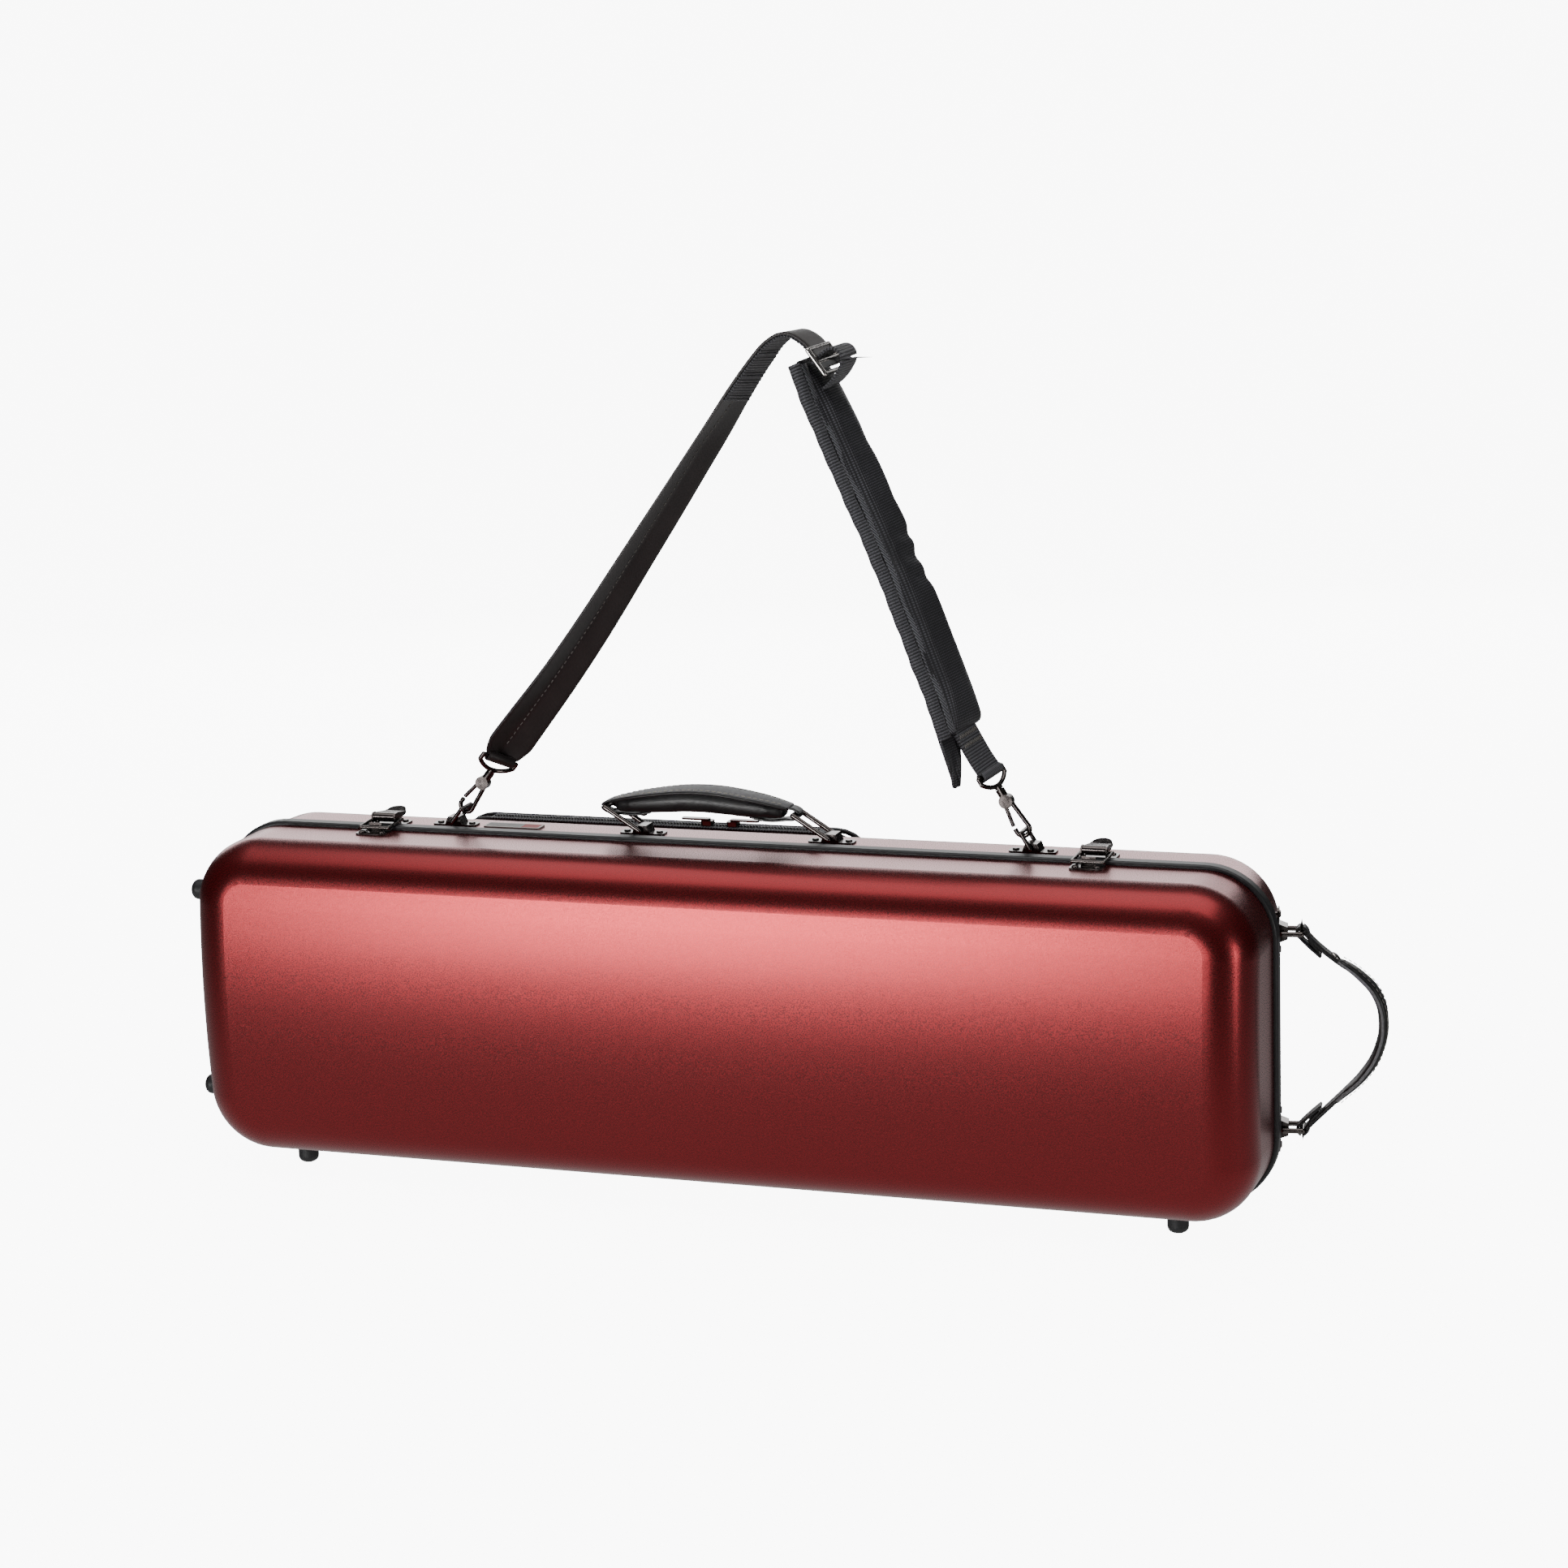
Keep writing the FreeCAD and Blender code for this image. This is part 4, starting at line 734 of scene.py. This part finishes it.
def makePad():
    guide, length = route("padRoute", padRoute, padTilts)
    length = length / mm
    half = padShape["width"] / 2
    body = primitive("cube", "shoulderPad", size=1)
    only(body)
    bpy.ops.object.mode_set(mode="EDIT")
    bpy.ops.transform.resize(value=(length * mm, padShape["width"] * mm, padShape["thickness"] * mm))
    bpy.ops.transform.translate(value=(length / 2 * mm, 0, 0))
    bpy.ops.mesh.bevel(offset=3.6 * mm, segments=3)
    bpy.ops.object.mode_set(mode="OBJECT")
    inflate(body, padShape["voxel"], padShape["pressure"], padShape["cap"])
    modify(body, "SUBSURF", levels=1, render_levels=1)
    for v in body.data.vertices:
        x, y, z = v.co / mm
        near = math.exp(-((y - padShape["seamY"]) / 3.2) ** 2)  # the seam pulls both faces in
        edge = 1 / (1 + math.exp((y + half - 7) * 1.1))  # the bound edge is thin
        thin = 1 - 0.5 * near - 0.72 * edge
        z *= max(0.16, thin)
        sink = creaseDepth(x, y)
        z -= math.copysign(min(sink, abs(z) * 0.7), z)
        y -= 0.55 * sink * min(1, max(0, (y - 10) / 14))
        shut = min(1, x / 16) ** 0.5 * min(1, (length - x + 3) / 12) ** 0.5 if 0 < x < length else 0.35
        v.co = Vector((x, y * (0.84 + 0.16 * shut), z * (0.5 + 0.5 * shut))) * mm
    layOut(body)

    binding = strip("padBinding", length - 4, padShape["bindingWidth"] * 2, 0, along=170, across=10, startX=2)
    for v in binding.data.vertices:  # folded over the near edge
        share = v.co.y / (padShape["bindingWidth"] * mm)
        run = (1 - abs(share)) * padShape["bindingWidth"]
        wave = 0.35 * math.sin(v.co.x / mm * 0.16) + 0.3 * math.sin(v.co.x / mm * 0.41)
        v.co.y = (-half - 3.0 + padShape["bindingWidth"] - run + wave) * mm
        v.co.z = math.copysign(1.5 + 0.9 * min(1, (padShape["bindingWidth"] - run) / 4) ** 0.5, share) * mm
        if abs(share) < 0.02:
            v.co.z = 0
    layOut(binding)
    modify(binding, "SOLIDIFY", thickness=1.2 * mm, offset=0)

    tapes = []
    for side in (-1, 1):
        tape = strip("tape", length - 8, padShape["tapeWidth"], 0, along=150, across=6, startX=4)
        for v in tape.data.vertices:
            y = v.co.y / mm
            v.co.y = (padShape["seamY"] + y) * mm
            v.co.z = side * (3.5 + 0.35 * math.cos(y * 0.7) + 0.4 * math.sin(v.co.x / mm * 0.13)) * mm
        modify(tape, "SOLIDIFY", thickness=0.9 * mm, offset=0)
        tapes.append(tape)
    tape = joined("padTape", tapes)
    layOut(tape)

    flap = primitive("grid", "padFlap", x_subdivisions=14, y_subdivisions=10, size=1)
    for v in flap.data.vertices:  # loose pointed end below the webbing
        u, w = v.co.x + 0.5, v.co.y
        v.co = Vector((length - 10 + 44 * u, -15 + w * 24 * (1 - u ** 1.6 * 0.78) - 3 * u,
                       -1.5 - 4.0 * u * u - 2.2 * math.cos(w * 5) * u)) * mm
    modify(flap, "SOLIDIFY", thickness=3.2 * mm, offset=0)
    modify(flap, "SUBSURF", levels=2, render_levels=2)
    layOut(flap)
    bendAlong(guide, body, binding, tape, flap)
    for piece in (body, binding, tape, flap):
        smooth(piece)
    settle(body, "base", "pad_nylon", finishes["nylon"], "shoulder_pad")
    settle(binding, "base", "pad_nylon", finishes["binding"])
    settle(tape, "base", "pad_nylon", finishes["herringbone"])
    settle(flap, "base", "pad_nylon", finishes["nylon"])


makePad()
print("shoulder pad made")


# end loop: webbing round the right eye, sewn with two bartacks

endLoop = {
    "width": 25.0, "thickness": 3.6,
    "points": ((137.5, 17, 345.0), (144.0, 17, 333.0), (153.5, 17, 316.5), (158.6, 17, 309.0)),
    "tilts": (19, 19, 19, 19),
}


def makeEndLoop():
    guide, length = route("endLoopRoute", endLoop["points"], endLoop["tilts"])
    length /= mm
    band = strip("endWebbing", length, endLoop["width"], endLoop["thickness"], along=40)
    layOut(band)
    places = []
    for row in (12.0, 19.0):
        for step in range(22):
            y = -endLoop["width"] / 2 + 2 + step * (endLoop["width"] - 4) / 21
            places.append((row, y, endLoop["thickness"] / 2 + 0.25, math.radians(32 if step % 2 else -32)))
    tacks = stitchRow("endTacks", places, 3.2, 0.4)
    bendAlong(guide, band, tacks)
    smooth(band, 35)
    settle(band, "base", "webbing", finishes["webbing"], "strap_end_loop")
    settle(tacks, "base", "webbing", finishes["darkThread"])
    eyeBarrel("endBarrel", 24, (159.5, 17, 307.2), -30.3, -19, "base", "webbing", finishes["webbing"])


makeEndLoop()
print("webbing made")


# carry handle: a stuffed grip under a sewn top panel, wrapped round the two ring bars

gripShape = {
    "middle": (-56.55, 17.0, 271.83),  # mm, half way between the ring bars
    "halfSpan": 72.0, "halfWidth": 13.0, "halfHeight": 8.6, "tipWidth": 7.0, "tipHeight": 4.4,
    "rise": (0.5, 4.5, 7.5, 4.5, 0.5),  # how high the grip stands over the line between the bars
    "voxel": 3.5, "pressure": 3.0, "cap": 2.2,
    "stitchPitch": 4.4, "panelHalfWidth": 11.5,
}


def gripGuide():
    x0, y0, z0 = gripShape["middle"]
    half = gripShape["halfSpan"] - 3
    points = [(x0 + half * share, y0, z0 + up) for share, up in zip((-1, -0.55, 0, 0.55, 1), gripShape["rise"])]
    return route("gripRoute", points, [0] * 5)


def panelHalf(x, length):  # half width of the grip's top panel at x
    share = abs(2 * x / length - 1)
    return 5.6 + (gripShape["panelHalfWidth"] - 5.6) * (1 - share ** 3.0)


def makeCarryHandle():
    guide, length = gripGuide()
    length /= mm
    body = primitive("cube", "gripPadding", size=1)
    only(body)
    bpy.ops.object.mode_set(mode="EDIT")
    bpy.ops.transform.resize(value=((length - 6) * mm, 2 * gripShape["halfWidth"] * mm,
                                    2 * gripShape["halfHeight"] * mm))
    bpy.ops.transform.translate(value=(length / 2 * mm, 0, 0))
    bpy.ops.mesh.bevel(offset=5.5 * mm, segments=4)
    bpy.ops.object.mode_set(mode="OBJECT")
    modify(body, "REMESH", mode="VOXEL", voxel_size=gripShape["voxel"] * mm)
    for v in body.data.vertices:
        share = min(1, abs(2 * v.co.x / mm / length - 1))
        wide = 1 - (1 - gripShape["tipWidth"] / gripShape["halfWidth"]) * share ** 3.5
        high = 1 - (1 - gripShape["tipHeight"] / gripShape["halfHeight"]) * share ** 2.6
        v.co.y *= wide
        v.co.z *= high
    inflate(body, gripShape["voxel"], gripShape["pressure"], gripShape["cap"])
    modify(body, "SUBSURF", levels=1, render_levels=1)
    for v in body.data.vertices:
        x, y, z = v.co / mm
        wrinkle = 0.35 * math.sin(0.55 * x + 0.4 * y) * math.exp(-((x - length * 0.6) / 26) ** 2)
        wrinkle += 0.25 * math.sin(0.9 * x - 0.7 * z) * math.exp(-((x - length * 0.3) / 18) ** 2)
        if z < 2:
            v.co.y += math.copysign(wrinkle, y) * mm
        if z > gripShape["halfHeight"] - 2.2:
            v.co.z = (gripShape["halfHeight"] - 2.2) * mm
    layOut(body)

    panel = strip("gripPanel", length - 2, 1.0, 0, along=80, across=10, startX=1)
    for v in panel.data.vertices:
        x, share = v.co.x / mm, v.co.y / (0.5 * mm)
        reach = panelHalf(x, length)
        v.co.y = share * reach * mm
        drop = gripShape["halfHeight"] - 1.6 - 3.4 * min(1, abs(2 * x / length - 1)) ** 2.6
        v.co.z = (drop + 0.9 * (1 - share * share)) * mm
    modify(panel, "SOLIDIFY", thickness=1.8 * mm, offset=0)
    modify(panel, "BEVEL", width=0.5 * mm, segments=2, limit_method="ANGLE")
    layOut(panel)

    pipings = []
    for side in (-1, 1):
        piping = longTube("piping", 10, 1.3, length - 4, length / 2, 0, 60)
        for v in piping.data.vertices:
            x = v.co.x / mm
            drop = gripShape["halfHeight"] - 1.9 - 3.4 * min(1, abs(2 * x / length - 1)) ** 2.6
            v.co.y += side * (panelHalf(x, length) + 0.7) * mm
            v.co.z += drop * mm
        pipings.append(piping)
    piping = joined("gripPiping", pipings)
    layOut(piping)

    places = []
    x = 7.0
    while x < length - 7:
        drop = gripShape["halfHeight"] - 0.35 - 3.4 * min(1, abs(2 * x / length - 1)) ** 2.6
        ahead = math.atan2(panelHalf(x + 1, length) - panelHalf(x - 1, length), 2)
        for side in (-1, 1):
            places.append((x, side * (panelHalf(x, length) - 2.2), drop, side * ahead))
        x += gripShape["stitchPitch"]
    seam = stitchRow("gripStitches", places, 2.9, 0.5)
    bendAlong(guide, body, panel, piping, seam)

    x0, y0, z0 = gripShape["middle"]
    tabs = []
    for side in (-1, 1):  # leather lapped round the bar and back under the grip
        x1 = x0 + side * gripShape["halfSpan"]
        points = [(x1 - side * 34, y0, z0 - 3.2), (x1 - side * 20, y0, z0 - 5.4), (x1 - side * 6, y0, z0 - 4.2),
                  (x1 + side * 0.5, y0, z0 - 3.3), (x1 + side * 3.3, y0, z0), (x1, y0, z0 + 3.3),
                  (x1 - side * 9, y0, z0 + 4.2)]
        lap, reach = route("tabRoute", points, [0] * 7)
        tab = strip("tab", reach / mm, 11.4, 1.7, along=60, across=6)
        layOut(tab)
        bendAlong(lap, tab)
        tabs.append(tab)
    tab = joined("gripTabs", tabs)
    studs = []
    for side in (-1, 1):
        stud = primitive("uv_sphere", "stud", segments=16, ring_count=8, radius=2.6 * mm,
                         location=((x0 + side * (gripShape["halfSpan"] - 27)) * mm, y0 * mm, (z0 - 6.0) * mm))
        stud.scale = (1, 1, 0.45)
        bake(stud)
        studs.append(stud)
    stud = joined("gripRivets", studs)
    for piece in (body, panel, piping, tab, stud):
        smooth(piece, 50)
    settle(body, "handle_grip", "leather", finishes["leather"], "handle_grip")
    settle(panel, "handle_grip", "leather", finishes["greyLeather"])
    settle(piping, "handle_grip", "leather", finishes["leather"])
    settle(seam, "handle_grip", "leather", finishes["thread"])
    settle(tab, "handle_grip", "leather", finishes["leather"])
    settle(stud, "handle_grip", "hardware", finishes["hardware"])


makeCarryHandle()
print("carry handle made")


# end handle: a long leather strap with a padded middle, lapped round the two end rings

endHandle = {
    "wall": (362.05, 17.0, 134.0), "lean": 9.0, "out": 16.4,  # mm and degrees, where its ring bars lie
    "halfSpan": 70.0, "width": 11.0, "thickness": 3.0, "padWidth": 21.0,
    # across the case and outwards, from the upper bar to the lower one
    "line": ((-70, 2.0), (-60, 12.0), (-46, 26.0), (-30, 41.5), (-12, 51.5), (8, 54.5), (26, 50.0),
             (40, 38.0), (50, 24.0), (61, 10.5), (70, 2.0)),
}


def makeEndHandle():
    def made(points):
        return route("handleRoute", [(x, 0, z) for x, z in points], [0] * len(points))

    guide, length = made(endHandle["line"])
    length /= mm
    belt = strip("handleBelt", length, endHandle["width"], endHandle["thickness"], along=120, across=8)
    layOut(belt)
    pad = primitive("cube", "handlePad", size=1)
    only(pad)
    padLength = length - 56
    bpy.ops.object.mode_set(mode="EDIT")
    bpy.ops.transform.resize(value=(padLength * mm, endHandle["padWidth"] * mm, 6.0 * mm))
    bpy.ops.transform.translate(value=(length / 2 * mm, 0, 0.6 * mm))
    bpy.ops.mesh.bevel(offset=2.6 * mm, segments=3)
    bpy.ops.object.mode_set(mode="OBJECT")
    modify(pad, "REMESH", mode="VOXEL", voxel_size=2.6 * mm)
    for v in pad.data.vertices:
        share = min(1, abs((v.co.x / mm - length / 2) / (padLength / 2)))
        v.co.y *= 1 - 0.55 * share ** 3
        v.co.z *= 1 - 0.35 * share ** 4
    inflate(pad, 2.6, 2.5, 1.2, 16)
    modify(pad, "SUBSURF", levels=1, render_levels=1)
    layOut(pad)
    trims = []
    for side in (-1, 1):
        trim = longTube("trim", 8, 0.95, padLength - 4, length / 2, 0.2, 50)
        for v in trim.data.vertices:
            share = min(1, abs((v.co.x / mm - length / 2) / (padLength / 2)))
            v.co.y += side * endHandle["padWidth"] / 2 * (1 - 0.55 * share ** 3) * mm
        trims.append(trim)
    trim = joined("handleTrim", trims)
    layOut(trim)
    places = []
    x = 32.0
    while x < length - 32:
        share = abs((x - length / 2) / (padLength / 2))
        for side in (-1, 1):
            places.append((x, side * (endHandle["padWidth"] / 2 * (1 - 0.55 * share ** 3) - 2.4), 3.6, 0))
        x += 4.0
    seam = stitchRow("handleStitches", places, 2.6, 0.35)
    bendAlong(guide, belt, pad, trim, seam)
    loops = []
    for side in (-1, 1):
        bar = side * endHandle["halfSpan"]
        points = [(bar - side * 13, 11.5), (bar - side * 5, 5.2), (bar + side * 1.4, 3.4), (bar + side * 3.9, -0.6),
                  (bar, -3.6), (bar - side * 4, -0.6), (bar - side * 9, 4.2), (bar - side * 17, 13.0)]
        lap, reach = made(points)
        loop = strip("loop", reach / mm, endHandle["width"], 1.9, along=60, across=6)
        layOut(loop)
        bendAlong(lap, loop)
        loops.append(loop)
    loop = joined("handleLoops", loops)
    snaps = []
    for bar, out in ((-49.0, 25.2), (53.0, 23.0)):
        snap = primitive("uv_sphere", "snap", segments=20, ring_count=10, radius=4.0 * mm,
                         location=(bar * mm, 0, out * mm))
        snap.scale = (1, 1, 0.35)
        snap.rotation_euler = (0, math.radians(-43 if bar < 0 else 47), 0)
        bake(snap)
        snaps.append(snap)
    snap = joined("handleSnaps", snaps)
    lean = math.radians(endHandle["lean"])
    outward = Vector((math.cos(lean), math.sin(lean), 0))
    upward = Vector((0, 0, 1))
    frameTurn = Matrix((upward, outward.cross(upward), outward)).transposed().to_4x4()
    place = Vector(endHandle["wall"]) * mm + outward * endHandle["out"] * mm
    for piece in (belt, pad, trim, seam, loop, snap):
        piece.matrix_world = Matrix.Translation(place) @ frameTurn
        bake(piece)
        smooth(piece, 50)
    settle(belt, "end_strap", "leather", finishes["leather"], "end_strap")
    settle(pad, "end_strap", "leather", finishes["leather"])
    settle(trim, "end_strap", "leather", finishes["greyLeather"])
    settle(seam, "end_strap", "leather", finishes["darkThread"])
    settle(loop, "end_strap", "leather", finishes["leather"])
    settle(snap, "end_strap", "hardware", finishes["nickel"])


makeEndHandle()
print("end handle made")


# rear pocket: a stuffed nylon bag on the crown of the base, piped round its back edge, with a coil zip on top

pocket = {  # mm
    "left": -275.3, "right": 48.7, "bottom": 45.5, "top": 245.0, "front": 57.0, "back": 85.5, "corner": 26.0,
    "crown": 68.0, "crownRadius": 701.0, "middle": 134.0,
    "piping": 1.9, "voxel": 5.0, "pressure": 3.5, "cap": 5.0,
    "zipLeft": -245.3, "zipRight": 18.7, "zipY": 71.5, "toothPitch": 2.4,
}


def crownAt(z):  # how far back the base reaches at the height z
    fall = z - pocket["middle"]
    return pocket["crown"] - pocket["crownRadius"] + math.sqrt(pocket["crownRadius"] ** 2 - fall * fall)


def makePocket():
    middle = ((pocket["left"] + pocket["right"]) / 2, (pocket["front"] + pocket["back"]) / 2,
              (pocket["bottom"] + pocket["top"]) / 2)
    size = (pocket["right"] - pocket["left"], pocket["back"] - pocket["front"], pocket["top"] - pocket["bottom"])
    bag = primitive("cube", "rearPocket", size=1)
    only(bag)
    bpy.ops.object.mode_set(mode="EDIT")
    bpy.ops.transform.resize(value=[s * mm for s in size])
    bpy.ops.transform.translate(value=[s * mm for s in middle])
    bpy.ops.mesh.select_all(action="DESELECT")
    bpy.ops.object.mode_set(mode="OBJECT")
    for edge in bag.data.edges:  # the four corners, seen from the back
        a, b = (bag.data.vertices[i].co for i in edge.vertices)
        edge.select = abs(a.y - b.y) > 10 * mm
    bpy.ops.object.mode_set(mode="EDIT")
    bpy.ops.mesh.select_mode(type="EDGE")
    bpy.ops.mesh.bevel(offset=pocket["corner"] * mm, segments=6)
    bpy.ops.object.mode_set(mode="OBJECT")
    inflate(bag, pocket["voxel"], pocket["pressure"], pocket["cap"])
    modify(bag, "SUBSURF", levels=1, render_levels=1)
    centreX, centreZ = middle[0], middle[2]
    for v in bag.data.vertices:
        x, y, z = v.co / mm
        across = min(1, abs(x - centreX) / (size[0] / 2))
        upward = min(1, abs(z - centreZ) / (size[2] / 2))
        sag = 1.1 * math.sin(x * 0.045 + z * 0.02) * math.sin(z * 0.06 + 1.0) * (1 - max(across, upward) ** 4)
        if y > 74:
            y += sag
        z = min(z, pocket["top"] + 0.3)
        v.co = Vector((x, max(y, crownAt(z) + 0.3), z)) * mm
    layOut(bag)
    for v, lay in zip(bag.data.vertices, bag.data.attributes["lay"].data):
        lay.vector = (v.co.x, v.co.z + v.co.y, v.co.y)

    pipes = []
    proud = 0.2  # mm, how far the piping stands out of the sides
    for y in (pocket["back"] - 1.5, pocket["front"] + 12.5):
        left, right = pocket["left"] - proud, pocket["right"] + proud
        low, high = pocket["bottom"] - proud, pocket["top"] - 0.8
        r = pocket["corner"]
        points = []
        for cx, cz, start in ((right - r, high - r, 0), (left + r, high - r, 90), (left + r, low + r, 180),
                              (right - r, low + r, 270)):
            for step in range(0, 91, 15):
                angle = math.radians(start + step)
                points.append((cx + r * math.cos(angle), y, cz + r * math.sin(angle)))
        curve = bpy.data.curves.new("pocketPiping", "CURVE")
        curve.dimensions = "3D"
        line = curve.splines.new("POLY")
        line.points.add(len(points) - 1)
        for knot, point in zip(line.points, points):
            knot.co = (*(Vector(point) * mm), 1)
        line.use_cyclic_u = True
        curve.bevel_depth = pocket["piping"] * mm
        curve.bevel_resolution = 3
        piping = bpy.data.objects.new("pocketPiping", curve)
        bpy.context.collection.objects.link(piping)
        only(piping)
        bpy.ops.object.convert(target="MESH")
        pipes.append(bpy.context.active_object)
    piping = joined("pocketPiping", pipes)
    layOut(piping)

    wide = pocket["zipRight"] - pocket["zipLeft"]
    tape = strip("zipTape", wide, 14.0, 1.0, along=60, across=6, startX=pocket["zipLeft"])
    only(tape)
    bpy.ops.object.mode_set(mode="EDIT")
    bpy.ops.mesh.select_all(action="SELECT")
    bpy.ops.transform.translate(value=(0, pocket["zipY"] * mm, (pocket["top"] + 1.0) * mm))
    bpy.ops.object.mode_set(mode="OBJECT")
    layOut(tape)
    places = []
    for step in range(int((wide - 6) / pocket["toothPitch"])):
        x = pocket["zipLeft"] + 3 + step * pocket["toothPitch"]
        for side in (-1, 1):
            places.append((x + 0.6 * side, pocket["zipY"] + side * 0.75, pocket["top"] + 2.1, math.radians(78)))
    coil = stitchRow("zipCoil", places, 2.0, 0.62)
    for piece in (bag, piping, tape, coil):
        smooth(piece, 50)
    settle(bag, "base", "pad_nylon", finishes["nylon"], "rear_pocket")
    settle(piping, "base", "leather", finishes["leather"])
    settle(tape, "base", "webbing", finishes["webbing"], "pocket_zip")
    settle(coil, "base", "zip", finishes["coil"])


makePocket()
print("rear pocket made")


# interior: plush over foam, worked from the plain foam blocks

lining = {
    # node: body, voxel (mm), how many times it is smoothed, finish, how full
    "base_foam": ("base", 4.5, 3, "plush", 0.9),
    "lid_lining": ("lid", 4.5, 3, "plush", 0.9),
    "neck_cradle": ("base", 2.0, 4, "plush", 0.9),
    "neck_tie": ("base", 0.8, 2, "webbing", None),
    "bow_tip_pocket": ("lid", 2.2, 4, "plush", 0.9),
    "accessory_lid": ("accessory_lid", 1.6, 2, "plush", 0.9),
    "accessory_lid_tab": ("accessory_lid", 0.45, 1, "webbing", None),
}


def makeLining(name):
    body, voxel, rounds, finish, fill = lining[name]
    source = nodes[name]
    piece = copyOf(source, name + "_cloth")
    piece.parent = None
    piece.matrix_world = source.matrix_world.copy()
    bake(piece)
    only(piece)
    bpy.ops.object.mode_set(mode="EDIT")
    bpy.ops.mesh.select_all(action="SELECT")
    bpy.ops.mesh.remove_doubles(threshold=0.005 * mm)
    bpy.ops.object.mode_set(mode="OBJECT")
    modify(piece, "REMESH", mode="VOXEL", voxel_size=voxel * mm)
    modify(piece, "SMOOTH", factor=0.5, iterations=rounds)
    modify(piece, "DISPLACE", strength=-0.12 * voxel * mm, mid_level=0.0)
    layOut(piece)
    smooth(piece)
    settle(piece, body, "velvet" if finish == "plush" else "webbing", finishes[finish], name)


for name in lining:
    makeLining(name)
print("lining made")
